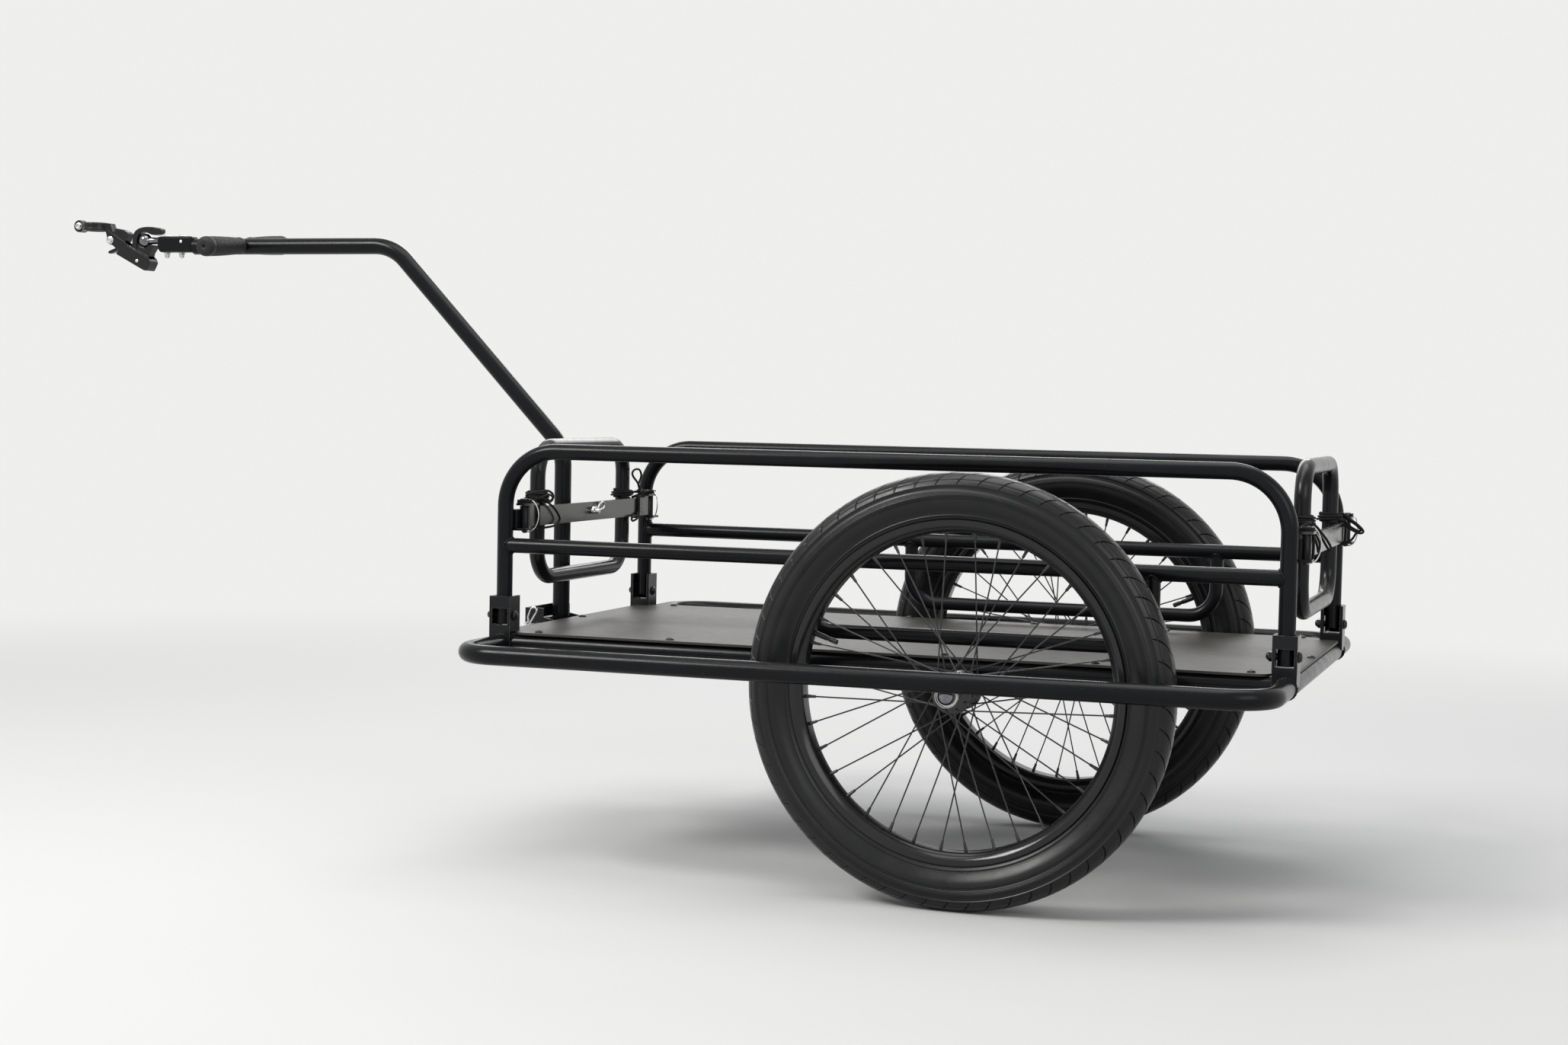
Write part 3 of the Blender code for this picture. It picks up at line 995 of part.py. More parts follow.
for name, (bolt_x, bolt_z), grip_y in (
    ("rear", CLAMP_REAR_BOLT, CHEEK_OUTER_Y), ("front", CLAMP_FRONT_BOLT, CLAMP_LUG_HALF_WIDTH),
):
    near = grip_y + GAP
    far = near + CLAMP_HEAD_HEIGHT
    bolt_profile = (
        (CLAMP_HEAD_RADIUS * 0.7, -far), (CLAMP_HEAD_RADIUS, -far + CLAMP_HEAD_CHAMFER),
        (CLAMP_HEAD_RADIUS, -near), (CLAMP_BOLT_RADIUS, -near), (CLAMP_BOLT_RADIUS, near),
        (CLAMP_HEAD_RADIUS, near),
        (CLAMP_HEAD_RADIUS, far - CLAMP_HEAD_CHAMFER), (CLAMP_HEAD_RADIUS * 0.7, far),
    )
    clamp_bolt = turned("clamp_bolt", bolt_profile, (bolt_x, 0, bolt_z), (0, 1, 0), SMALL_SIDES)
    finish(clamp_bolt, f"clamp_bolt_{name}", bright_steel, (bolt_x, 0, bolt_z))

# Wheels, stub axles and their push buttons
rim_half = RIM_WIDTH / 2
rim_floor = BEAD_RADIUS - RIM_WELL
rim_profile = (
    (RIM_INNER_RADIUS, -rim_half * RIM_BRIDGE_SHARE), (RIM_INNER_RADIUS, rim_half * RIM_BRIDGE_SHARE),
    (RIM_INNER_RADIUS + RIM_SLOPE, rim_half), (BEAD_RADIUS, rim_half),
    (BEAD_RADIUS, rim_half - RIM_LIP), (rim_floor, rim_half - RIM_LIP),
    (rim_floor, -rim_half + RIM_LIP), (BEAD_RADIUS, -rim_half + RIM_LIP),
    (BEAD_RADIUS, -rim_half), (RIM_INNER_RADIUS + RIM_SLOPE, -rim_half),
)
tyre_centre_radius = TYRE_RADIUS - TYRE_WIDTH / 2
tyre_half = TYRE_WIDTH / 2
bead_half = rim_half - RIM_LIP - GAP
tyre_profile = [(rim_floor + GAP, bead_half), (BEAD_RADIUS + 2 * GAP, bead_half)]
for step in range(TYRE_STEPS + 1):
    angle = math.radians(TYRE_SHOULDER_ANGLE + (180 - 2 * TYRE_SHOULDER_ANGLE) * step / TYRE_STEPS)
    tyre_profile.append((
        tyre_centre_radius + tyre_half * math.sin(angle), tyre_half * math.cos(angle),
    ))
tyre_profile.extend(((BEAD_RADIUS + 2 * GAP, -bead_half), (rim_floor + GAP, -bead_half)))
flange_foot = HUB_FLANGE_OFFSET - HUB_FLANGE_FOOT
flange_inner = HUB_FLANGE_OFFSET - HUB_FLANGE_HALF
flange_outer = HUB_FLANGE_OFFSET + HUB_FLANGE_HALF
flange_back = HUB_FLANGE_OFFSET + HUB_FLANGE_FOOT
hub_half_profile = (
    (HUB_CORE_RADIUS, flange_foot), (HUB_FLANGE_RADIUS, flange_inner), (HUB_FLANGE_RADIUS, flange_outer),
    (HUB_CORE_RADIUS, flange_back), (HUB_CORE_RADIUS * 0.75, HUB_HALF_WIDTH), (bore_radius, HUB_HALF_WIDTH),
)
hub_profile = (
    *((radius, -distance) for radius, distance in reversed(hub_half_profile)),
    (HUB_CORE_RADIUS * 0.9, 0), *hub_half_profile,
)
button_seat_y = AXLE_HEAD_START - BUTTON_SEAT_DEPTH
stub_profile = (
    (AXLE_RADIUS * 0.7, STUB_INNER_Y), (AXLE_RADIUS, STUB_INNER_Y + 0.002), (AXLE_RADIUS, AXLE_HEAD_START),
    (AXLE_HEAD_RADIUS, AXLE_HEAD_START), (AXLE_HEAD_RADIUS, AXLE_HEAD_END - AXLE_HEAD_CHAMFER),
    (AXLE_HEAD_RADIUS * 0.85, AXLE_HEAD_END), (BUTTON_RADIUS + BORE_CLEARANCE, AXLE_HEAD_END),
    (BUTTON_RADIUS + BORE_CLEARANCE, button_seat_y), (0.0002, button_seat_y),
)
button_floor = button_seat_y + BUTTON_TRAVEL + OVERLAP
button_profile = (
    (BUTTON_RADIUS, button_floor), (BUTTON_RADIUS, AXLE_HEAD_END + BUTTON_PROUD),
    (BUTTON_RADIUS * 0.85, AXLE_HEAD_END + BUTTON_PROUD), (BUTTON_RADIUS * 0.55, BUTTON_END - BUTTON_CROWN),
    (BUTTON_RADIUS * 0.2, BUTTON_END),
)


def lace(wheel_y):
    """The spokes of one wheel, crossing three times, as separate bars."""
    bars = []
    rim_seat = RIM_INNER_RADIUS * math.cos(math.pi / WHEEL_SEGMENTS) - 2 * GAP
    per_flange = SPOKE_COUNT // 2
    for flange in (-1, 1):
        for index in range(per_flange):
            turn = 1 if index % 2 else -1
            rim_angle = 2 * math.pi * (index + (0.25 if flange > 0 else -0.25)) / per_flange
            hub_angle = rim_angle + turn * SPOKE_SWING
            seat = HUB_FLANGE_RADIUS - SPOKE_HOLE_DEPTH
            start = Vector((
                seat * math.cos(hub_angle), wheel_y + flange * HUB_FLANGE_OFFSET + turn * SPOKE_RADIUS,
                AXLE_Z + seat * math.sin(hub_angle),
            ))
            end = Vector((
                rim_seat * math.cos(rim_angle), wheel_y + flange * SPOKE_RIM_OFFSET,
                AXLE_Z + rim_seat * math.sin(rim_angle),
            ))
            bars.append((start, end))
    return bars


for name, side, valve_angle in (("left", 1, LEFT_VALVE_ANGLE), ("right", -1, RIGHT_VALVE_ANGLE)):
    wheel_y = side * WHEEL_OFFSET
    centre = (0, wheel_y, AXLE_Z)
    tyre = turned("tyre", tyre_profile, centre, (0, 1, 0), WHEEL_SEGMENTS, closed=True)
    finish(tyre, f"tyre_{name}", tyre_rubber, centre)
    rim = turned("rim", rim_profile, centre, (0, 1, 0), WHEEL_SEGMENTS, closed=True)
    valve_direction = Vector((math.cos(valve_angle), 0, math.sin(valve_angle)))
    valve_hole = rod(
        "valve_hole", Vector(centre) + valve_direction * (RIM_INNER_RADIUS - CUT_REACH),
        Vector(centre) + valve_direction * (rim_floor + 0.002),
        VALVE_BASE_RADIUS + BORE_CLEARANCE, SMALL_SIDES)
    cut(rim, valve_hole)
    finish(rim, f"rim_{name}", rim_black, centre)
    valve_start = RIM_INNER_RADIUS - VALVE_LENGTH
    valve_end = rim_floor * math.cos(math.pi / WHEEL_SEGMENTS) - 2 * GAP
    valve_profile = (
        (VALVE_RADIUS * 0.85, valve_start), (VALVE_RADIUS, valve_start + 0.002),
        (VALVE_RADIUS, valve_start + 0.010), (VALVE_BASE_RADIUS, valve_start + 0.011),
        (VALVE_BASE_RADIUS, valve_end),
    )
    valve = turned("valve", valve_profile, centre, valve_direction, SMALL_SIDES)
    finish(valve, f"valve_{name}", black_steel, centre)
    hub = turned("hub", hub_profile, centre, (0, 1, 0), 16, closed=True)
    spokes = lace(wheel_y)
    for start, end in spokes:
        join(hub, rod("spoke", start, end, SPOKE_RADIUS, 4))
    finish(hub, f"hub_and_spokes_{name}", spoke_black, centre)
    stub = turned("stub", stub_profile, (0, 0, AXLE_Z), (0, side, 0), SMALL_SIDES + 4)
    finish(stub, f"stub_axle_{name}", bright_steel, (0, side * AXLE_HEAD_START, AXLE_Z))
    button = turned("button", button_profile, (0, 0, AXLE_Z), (0, side, 0), SMALL_SIDES)
    finish(button, f"axle_button_{name}", chrome_ball, (0, side * BUTTON_END, AXLE_Z))

# The whole trailer stands with the middle of its box over the origin
reach = []
for item in bpy.data.objects:
    for vertex in item.data.vertices:
        reach.append(vertex.co.x + item.location.x)
middle_x = (min(reach) + max(reach)) / 2
for item in bpy.data.objects:
    item.location.x -= middle_x
print("axle stands at x =", round(-middle_x, 6), "of a length of", round(max(reach) - min(reach), 6))
print("triangles:", sum(len(p.vertices) - 2 for item in bpy.data.objects for p in item.data.polygons))
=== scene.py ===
"""The look of a folding flat-bed bicycle trailer, in metres. Forward is +X, left is +Y, up is +Z."""

import math
import random

import bmesh
import bpy
from mathutils import Matrix, Vector


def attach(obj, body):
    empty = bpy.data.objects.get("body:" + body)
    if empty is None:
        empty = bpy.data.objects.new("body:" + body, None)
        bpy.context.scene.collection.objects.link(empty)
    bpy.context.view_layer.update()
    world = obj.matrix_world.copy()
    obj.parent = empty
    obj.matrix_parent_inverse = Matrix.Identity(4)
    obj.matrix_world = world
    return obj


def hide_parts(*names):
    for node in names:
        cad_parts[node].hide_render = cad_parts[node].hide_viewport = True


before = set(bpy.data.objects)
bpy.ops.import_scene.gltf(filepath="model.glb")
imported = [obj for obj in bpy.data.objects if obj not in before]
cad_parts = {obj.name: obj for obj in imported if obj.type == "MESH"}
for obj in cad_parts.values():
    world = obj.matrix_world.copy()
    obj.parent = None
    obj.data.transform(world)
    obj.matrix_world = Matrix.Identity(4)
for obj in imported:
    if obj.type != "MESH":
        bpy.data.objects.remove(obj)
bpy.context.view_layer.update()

# Lengthwise places are measured from the wheel axle, which stands here in the frame
AXLE_X = -0.5196

# Sizes shared with the solids
GAP = 0.0003
AXLE_Z = 0.255
WHEEL_Y = 0.299
FRAME_Z = 0.2735
FRAME_R = 0.012
FRAME_Y = 0.228
FRONT_X = 0.614
REAR_X = -0.367
RAIL_FACE_Y = 0.2405
AXLE_TUBE_R = 0.014
AXLE_TUBE_END = 0.2622
OUTRIGGER_Y = 0.369
DECK_LOW = 0.2858
DECK_HIGH = 0.289
DECK_Y = 0.239
DECK_CORNER = 0.018
PANEL_R = 0.01
RAIL_R = PANEL_R - 0.0005
GUARD_R = PANEL_R - 0.001
LEG_FRONT_X = 0.616
LEG_REAR_X = -0.365
LEG_END = 0.0108
HINGE_Z = 0.309
BRACKET_HALF = 0.0143
PANEL_TOP = 0.518
RAIL_Z = 0.398
GUARD_Z = 0.311
GUARD_FRONT_X = 0.213
GUARD_REAR_X = -0.211
POST_Y = 0.2045
POST_R = 0.0062
POST_LOW = 0.4196
POST_HIGH = 0.4475
GATE_R = 0.01
GATE_Y = 0.139
GATE_TOP = 0.522
GATE_LOW = 0.351
BAR_HALF = 0.003
BAR_LOW = 0.421
BAR_HIGH = 0.446
BAR_PIN_Z = 0.4335
BAR_FRONT_X = FRONT_X - GATE_R - BAR_HALF - GAP
BAR_REAR_X = REAR_X - GATE_R - BAR_HALF - GAP
PIN_R = 0.0038
PIN_BORE = 0.0041
PIN_TOP = BAR_HIGH + 0.005 + GAP
DRAWBAR_R = 0.0114
DRAWBAR_X = 0.6422
DRAWBAR_TOP = 0.7922
BOSS_R = 0.008
FOOT_PIN_X = 0.6552
FOOT_PIN_Z = 0.279
FOOT_HALF = 0.043
FOOT_TAIL = FOOT_HALF + 0.053
HANDLE = Vector((1.1447, 0.0, 0.7932))
HANDLE_TILT = math.radians(4.2)
HANDLE_AXIS = Vector((0, math.cos(HANDLE_TILT), -math.sin(HANDLE_TILT)))
HANDLE_HALF = 0.0995
HANDLE_R = 0.009
END_X = 1.2264
FITTING_HALF = 0.01
FITTING_END = 1.2847
FITTING_LOW = 0.7838
FITTING_HIGH = 0.8068
FITTING_BOLTS = {"rear": 1.2486, "front": 1.2729}
BALL = Vector((1.3093, 0.0, 0.8008))
BALL_R = 0.0104
CHEEK_IN = 0.0068
CHEEK_OUT = 0.0084
LEVER_IN = 0.0087
LEVER_OUT = 0.0103
CLAW_HALF = 0.0065
CLAMP_X = 1.3942
CLAMP_BORE = 0.0159
CLAMP_R = 0.0197
CLAMP_LOW = BALL.z + 0.0147
CLAMP_HIGH = BALL.z + 0.0262
REAR_BOLT = Vector((1.3645, 0.0, 0.8015))
FRONT_BOLT = Vector((1.4197, 0.0, 0.8223))

BASE = "base"
REAR_GATE = "rear_gate"
FRONT_GATE = "front_gate_and_drawbar"
SIDES = (("left", 1), ("right", -1))
# The panel leg and the gate bar at each end, and each gate's hoop, bar and body
LEGS = (("front", LEG_FRONT_X, BAR_FRONT_X), ("rear", LEG_REAR_X, BAR_REAR_X))
GATES = (("front", FRONT_X, BAR_FRONT_X, FRONT_GATE), ("rear", REAR_X, BAR_REAR_X, REAR_GATE))

# How finely round things are cut
TUBE_SIDES = 28
CORD_SIDES = 10


# Shapes

def mm(table):
    """Places given in millimetres, in metres."""
    return [tuple(value / 1000 for value in place) for place in table]


def from_place(place, table):
    """Points given in millimetres from a place."""
    return [Vector(place) + Vector(point) for point in mm(table)]


def rectangle(left, right, low, high):
    return (left, low), (right, low), (right, high), (left, high)


def mirrored(half, on_middle=1):
    """A profile that first runs through its own mirror image; some points may lie on the middle."""
    return [(radius, -distance) for radius, distance in reversed(half[on_middle:])] + half


def round_run(centre, radius, first, turn, steps):
    """Points on a circle, from a first angle in degrees through a turn."""
    angles = [math.radians(first + turn * step / steps) for step in range(steps + 1)]
    return [(centre[0] + radius * math.cos(angle), centre[1] + radius * math.sin(angle)) for angle in angles]


def circle(centre, arm, other, radius, sides, turn=0.0):
    """Points round a centre, from one arm towards the other."""
    angles = [2 * math.pi * side / sides + turn for side in range(sides)]
    return [centre + (arm * math.cos(angle) + other * math.sin(angle)) * radius for angle in angles]


def square_to(axis, arm):
    """The part of an arm that stands square to an axis, at unit length."""
    return (arm - axis * axis.dot(arm)).normalized()


def arcs(corners, radius, closed, steps):
    """Straight runs joined by arcs; a radius is one number or one for each corner."""
    corners = [Vector(corner) for corner in corners]
    count = len(corners)
    points = []
    for index, corner in enumerate(corners):
        if not closed and index in (0, count - 1):
            points.append(corner)
            continue
        bend = radius[index] if isinstance(radius, list) else radius
        before = (corners[index - 1] - corner).normalized()
        after = (corners[(index + 1) % count] - corner).normalized()
        half = before.angle(after) / 2
        middle = corner + (before + after).normalized() * (bend / math.sin(half))
        start = corner + before * (bend / math.tan(half)) - middle
        end = corner + after * (bend / math.tan(half)) - middle
        swept = start.angle(end)
        for step in range(steps + 1):
            share = step / steps
            arm = start * math.sin((1 - share) * swept) + end * math.sin(share * swept)
            points.append(middle + arm / math.sin(swept))
    return points


def hoop(front_x, rear_x, foot, far, radius, steps):
    """The path of a hoop: two legs from their feet, given as (y, z), and the run between them."""
    corners = ((front_x, *foot), (front_x, *far), (rear_x, *far), (rear_x, *foot))
    return arcs(corners, radius, False, steps)


def smooth_path(points, steps, closed=False):
    """A soft curve through the given points."""
    points = [Vector(point) for point in points]
    if closed:
        around = [points[-1], *points, *points[:2]]
    else:
        around = [points[0] * 2 - points[1], *points, points[-1] * 2 - points[-2]]
    result = []
    for a, b, c, d in zip(around, around[1:], around[2:], around[3:]):
        for step in range(steps):
            t = step / steps
            result.append(0.5 * (
                2 * b + (c - a) * t + (2 * a - 5 * b + 4 * c - d) * t * t
                + (3 * b - a - 3 * c + d) * t * t * t))
    if not closed:
        result.append(points[-1])
    return result


def rings(count, sides, closed):
    """Quads between rings of points, with flat ends on an open run."""
    faces = []
    for ring in range(count if closed else count - 1):
        here = ring * sides
        there = (ring + 1) % count * sides
        for side in range(sides):
            beside = (side + 1) % sides
            faces.append((here + side, here + beside, there + beside, there + side))
    if not closed:
        faces.append(tuple(range(sides)))
        faces.append(tuple(range((count - 1) * sides, count * sides)))
    return faces


def sweep(path, radius, sides, start=None, closed=False):
    """A round bar along a path; the radius is one number or one for each point."""
    path = [Vector(point) for point in path]
    count = len(path)
    radii = radius if isinstance(radius, list) else [radius] * count
    around = [path[-1], *path, path[0]] if closed else [path[0], *path, path[-1]]
    tangents = [(after - before).normalized() for before, after in zip(around, around[2:])]
    arm = tangents[0].cross(Vector((0.31, 0.17, 0.94))) if start is None else Vector(start)
    arms = []
    for tangent in tangents:
        arm = square_to(tangent, arm)
        arms.append(arm)
    twist = 0.0
    if closed:
        back = square_to(tangents[0], arm)
        twist = math.atan2(back.cross(arms[0]).dot(tangents[0]), back.dot(arms[0]))
    vertices = []
    for index, (point, arm, tangent) in enumerate(zip(path, arms, tangents)):
        vertices.extend(circle(point, arm, tangent.cross(arm), radii[index], sides, twist * index / count))
    return vertices, rings(count, sides, closed)


def bar(a, b, radius, sides=24):
    return sweep((a, b), radius, sides)


def turned(profile, centre, axis, sides=32, closed=False, turn=0.0):
    """A body of revolution from (radius, distance along the axis) pairs."""
    axis = Vector(axis).normalized()
    arm = square_to(axis, Vector((0, 0, -1)) if abs(axis.z) < 0.7 else Vector((1, 0, 0)))
    other = axis.cross(arm)
    vertices = []
    for radius, distance in profile:
        vertices.extend(circle(Vector(centre) + axis * distance, arm, other, radius, sides, turn))
    return vertices, rings(len(profile), sides, closed)


def dome(radius, start, height, steps=7):
    """The profile of a rounded cap, open by a hair at its top."""
    angles = [math.pi / 2 * step / steps for step in range(steps + 1)]
    return [(radius * math.cos(angle * 0.97), start + height * math.sin(angle)) for angle in angles]


def slab(outline, low, high, upright=False):
    """A flat outline given a thickness across the trailer, or upwards."""
    vertices = []
    for level in (low, high):
        vertices.extend((a, b, level) if upright else (a, level, b) for a, b in outline)
    return vertices, rings(2, len(outline), False)


def hexagon(centre, axis, across_flats, low, high, turn):
    """A six-sided prism whose corners are turned down at its far end."""
    corner = across_flats / math.sqrt(3)
    rise = (high - low) * 0.18
    profile = ((corner, low), (corner, high - rise), (corner * 0.88, high))
    return turned(profile, centre, axis, 6, turn=turn)


def saddle(centre, along, axis, radius, host):
    """The line on which a bar meets a thicker or equal bar square to it."""
    centre, along, axis = Vector(centre), Vector(along), Vector(axis)
    side = along.cross(axis)
    points = []
    for step in range(40):
        angle = 2 * math.pi * step / 40
        off = radius * math.sin(angle)
        depth = math.sqrt(max(host * host - off * off, 0.0))
        points.append(centre + along * depth + axis * (radius * math.cos(angle)) + side * off)
    return points


def bead(line, size, seed, closed=True):
    """A weld run: a thin lumpy bar along a line."""
    source = random.Random(seed)
    path = smooth_path(line, 2, closed)
    phase = source.random() * 6
    radii = []
    for index in range(len(path)):
        radii.append(size * (1 + 0.16 * math.sin(index * 1.9 + phase) + 0.1 * (source.random() - 0.5)))
    return sweep(path, radii, 8, closed=closed)


def ring_bead(x, y, z, radius, size, seed):
    """A weld run round a tube that lies across the trailer."""
    axis = Vector((0, 1, 0))
    arm = axis.cross(Vector((0.3, 0.5, 0.81))).normalized()
    return bead(circle(Vector((x, y, z)), arm, axis.cross(arm), radius, 36), size, seed)


def placed(name, data):
    """A new object in the scene."""
    item = bpy.data.objects.new(name, data)
    bpy.context.scene.collection.objects.link(item)
    return item


def eased(item, width, sharp, segments=2):
    """A narrow bevel along the sharp edges."""
    edge = item.modifiers.new("edges", "BEVEL")
    edge.width = width
    edge.segments = segments
    edge.limit_method = "ANGLE"
    edge.angle_limit = math.radians(sharp)
    return edge


def piece(name, body, surface, solids, replaced="", bevel=0.0, sharp=34, segments=2, side=1):
    """One piece of the object, from solids measured from the axle; a side of -1 mirrors them."""
    material, slot = surface
    vertices = []
    faces = []
    for points, polygons in solids:
        base = len(vertices)
        vertices.extend((x + AXLE_X, y * side, z) for x, y, z in points)
        faces.extend(tuple(base + i for i in polygon[::side]) for polygon in polygons)
    mesh = bpy.data.meshes.new(name)
    mesh.from_pydata(vertices, [], faces)
    work = bmesh.new()
    work.from_mesh(mesh)
    bmesh.ops.recalc_face_normals(work, faces=work.faces)
    work.to_mesh(mesh)
    work.free()
    mesh.shade_smooth()
    mesh.set_sharp_from_angle(angle=math.radians(sharp))
    mesh.materials.append(material)
    item = placed(name, mesh)
    if bevel:
        eased(item, bevel, sharp, segments).harden_normals = True
    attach(item, body)
    if replaced:
        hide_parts(replaced)
    return item


# Surfaces

def fill(made, inputs):
    """Each input takes a link from another node's output, or a plain value."""
    for key, value in inputs.items():
        if isinstance(value, bpy.types.NodeSocket):
            made.id_data.links.new(value, made.inputs[key])
        else:
            made.inputs[key].default_value = value


def node(tree, kind, inputs):
    made = tree.nodes.new("ShaderNode" + kind)
    fill(made, inputs)
    return made


def combined(operation, *values, kind="Math", output="Value"):
    """The sum, product or the like of outputs and plain values."""
    made = node(values[0].id_data, kind, dict(enumerate(values)))
    made.operation = operation
    return made.outputs[output]


def look(name):
    """A new material, its surface node and the object's own coordinates."""
    material = bpy.data.materials.new(name)
    material.use_nodes = True
    tree = material.node_tree
    return material, tree.nodes["Principled BSDF"], node(tree, "TexCoord", {}).outputs["Object"]


def noise(place, scale, detail, rough):
    texture = node(place.id_data, "TexNoise", {
        "Vector": place, "Scale": scale, "Detail": detail, "Roughness": rough})
    return texture.outputs["Fac"]


def ramp(value, low, high, first, second):
    """The value spread between two numbers."""
    spread = node(value.id_data, "MapRange", {
        "Value": value, "From Min": low, "From Max": high, "To Min": first, "To Max": second})
    return spread.outputs["Result"]


def tint(value, low, high, first, second):
    """The value spread between two colours."""
    blend = node(value.id_data, "ValToRGB", {"Fac": value})
    for element, position, colour in zip(blend.color_ramp.elements, (low, high), (first, second)):
        element.position = position
        element.color = (*colour, 1)
    return blend.outputs["Color"]


def mixed(share, first, second):
    """A colour mixed with a plain one by a share."""
    blend = node(share.id_data, "Mix", {"Factor": share})
    blend.data_type = "RGBA"
    fill(blend, {6: first, 7: (*second, 1)})
    return blend.outputs[2]


def bumped(shader, *heights):
    """Fine relief from one or more heights, each with its depth in metres."""
    inputs = {}
    for value, depth in heights:
        relief = node(shader.id_data, "Bump", {
            **inputs, "Strength": 1, "Distance": depth, "Height": value})
        inputs = {"Normal": relief.outputs["Normal"]}
    fill(shader, inputs)


def coated(name, dark, light, rough, grain=1400, depth=0.00002, top_dust_and_light=0.0, gloss=0.5, edge=0.0):
    """Paint or coating: a faint cloud in its colour, fine grain, a dusty top that also carries a painted
    highlight, and rubbed edges.
    """
    material, shader, place = look(name)
    if top_dust_and_light or edge:
        normal = node(shader.id_data, "NewGeometry", {}).outputs["Normal"]
    specks = ramp(noise(place, 420, 2, 0.4), 0.755, 0.785, 0, 0.3)
    colour = mixed(specks, tint(noise(place, 14, 5, 0.55), 0.32, 0.7, dark, light), (0.1, 0.1, 0.095))
    # Surfaces that face up turn paler: a real dusting, and with it a painted highlight on the tops.
    if top_dust_and_light:
        upward = node(shader.id_data, "SeparateXYZ", {"Vector": normal}).outputs["Z"]
        patches = ramp(noise(place, 38, 6, 0.65), 0.42, 0.66, 0.15, 1)
        paled_share = combined("MULTIPLY", ramp(upward, 0.55, 1, 0, top_dust_and_light), patches)
        colour = mixed(paled_share, colour, (0.115, 0.11, 0.1))
    if edge:
        rounded = node(shader.id_data, "Bevel", {"Radius": 0.0007})
        rounded.samples = 4
        turn = combined("DOT_PRODUCT", rounded.outputs["Normal"], normal, kind="VectorMath")
        rubbed = ramp(noise(place, 220, 4, 0.6), 0.4, 0.6, 0.15, 1)
        worn = combined("MULTIPLY", ramp(turn, 0.9, 0.985, edge, 0), rubbed)
        colour = mixed(worn, colour, (0.2, 0.2, 0.195))
    fill(shader, {
        "Base Color": colour, "Roughness": ramp(noise(place, 55, 6, 0.6), 0.3, 0.7, *rough),
        "Specular IOR Level": gloss})
    coarse = noise(place, grain * 0.12, 2, 0.5)
    bumped(shader, (noise(place, grain, 2, 0.5), depth), (coarse, depth * 2.5))
    return material


def metal(name, dark, light, rough):
    """Bare or plated metal with a faint grain and dull patches."""
    material, shader, place = look(name)
    cloud = noise(place, 160, 5, 0.6)
    fill(shader, {
        "Base Color": tint(cloud, 0.3, 0.7, dark, light), "Roughness": ramp(cloud, 0.35, 0.7, *rough),
        "Metallic": 1})
    bumped(shader, (noise(place, 900, 3, 0.6), 0.00001))
    return material


def rubber(name, dark, light, rough, grain, depth, tyre=False):
    """Rubber with fine grain; a tyre also has a dry dusty crown and fine ribs low on its walls."""
    material, shader, place = look(name)
    cloud = noise(place, 26, 6, 0.6)
    colour = tint(cloud, 0.3, 0.7, dark, light)
    heights = [(noise(place, grain, 3, 0.6), depth)]
    if tyre:
        offset = combined("SUBTRACT", place, (AXLE_X, 0, AXLE_Z), kind="VectorMath", output="Vector")
        flat = combined("MULTIPLY", offset, (1, 0, 1), kind="VectorMath", output="Vector")
        reach = combined("LENGTH", flat, kind="VectorMath")
        patches = ramp(noise(place, 60, 6, 0.7), 0.4, 0.68, 0.1, 1)
        paled_share = combined("MULTIPLY", ramp(reach, 0.247, 0.255, 0, 0.55), patches)
        colour = mixed(paled_share, colour, (0.04, 0.037, 0.032))
        wave = combined("SINE", combined("MULTIPLY", reach, 2 * math.pi / 0.0011))
        inside = combined(
            "MULTIPLY", ramp(reach, 0.227, 0.228, 0, 1), ramp(reach, 0.233, 0.234, 1, 0))
        heights.append((combined("MULTIPLY", wave, inside), 0.00012))
    fill(shader, {
        "Base Color": colour, "Roughness": ramp(cloud, 0.3, 0.7, *rough), "Specular IOR Level": 0.32})
    bumped(shader, *heights)
    return material


def braid(name, dark, light):
    """Braided cord: crossing strands along and around, from the piece's own map, with painted shade in the
    gaps between strands.
    """
    material, shader, place = look(name)
    tree = shader.id_data
    strands = []
    for turn in (0.78, -0.78):
        lean = node(tree, "Mapping", {"Vector": place.node.outputs["UV"], "Rotation": (0, 0, turn)})
        wave = node(tree, "TexWave", {"Vector": lean.outputs["Vector"], "Scale": 3.2, "Distortion": 0.4})
        strands.append(wave.outputs["Fac"])
    top = combined("MAXIMUM", *strands)
    # The colour is darker in the gaps between strands and lighter on their crowns: painted shade.
    fill(shader, {
        "Base Color": tint(top, 0.3, 1, dark, light), "Roughness": 0.82, "Specular IOR Level": 0.2,
        "Sheen Weight": 0.04})
    bumped(shader, (top, 0.0003))
    return material


# Each surface is a material and a slot name
PAINT = (coated(
    "frame_paint_look", (0.0034, 0.0038, 0.0048), (0.0056, 0.0062, 0.0076), (0.18, 0.28),
    top_dust_and_light=0.1, gloss=0.15), "frame_paint")
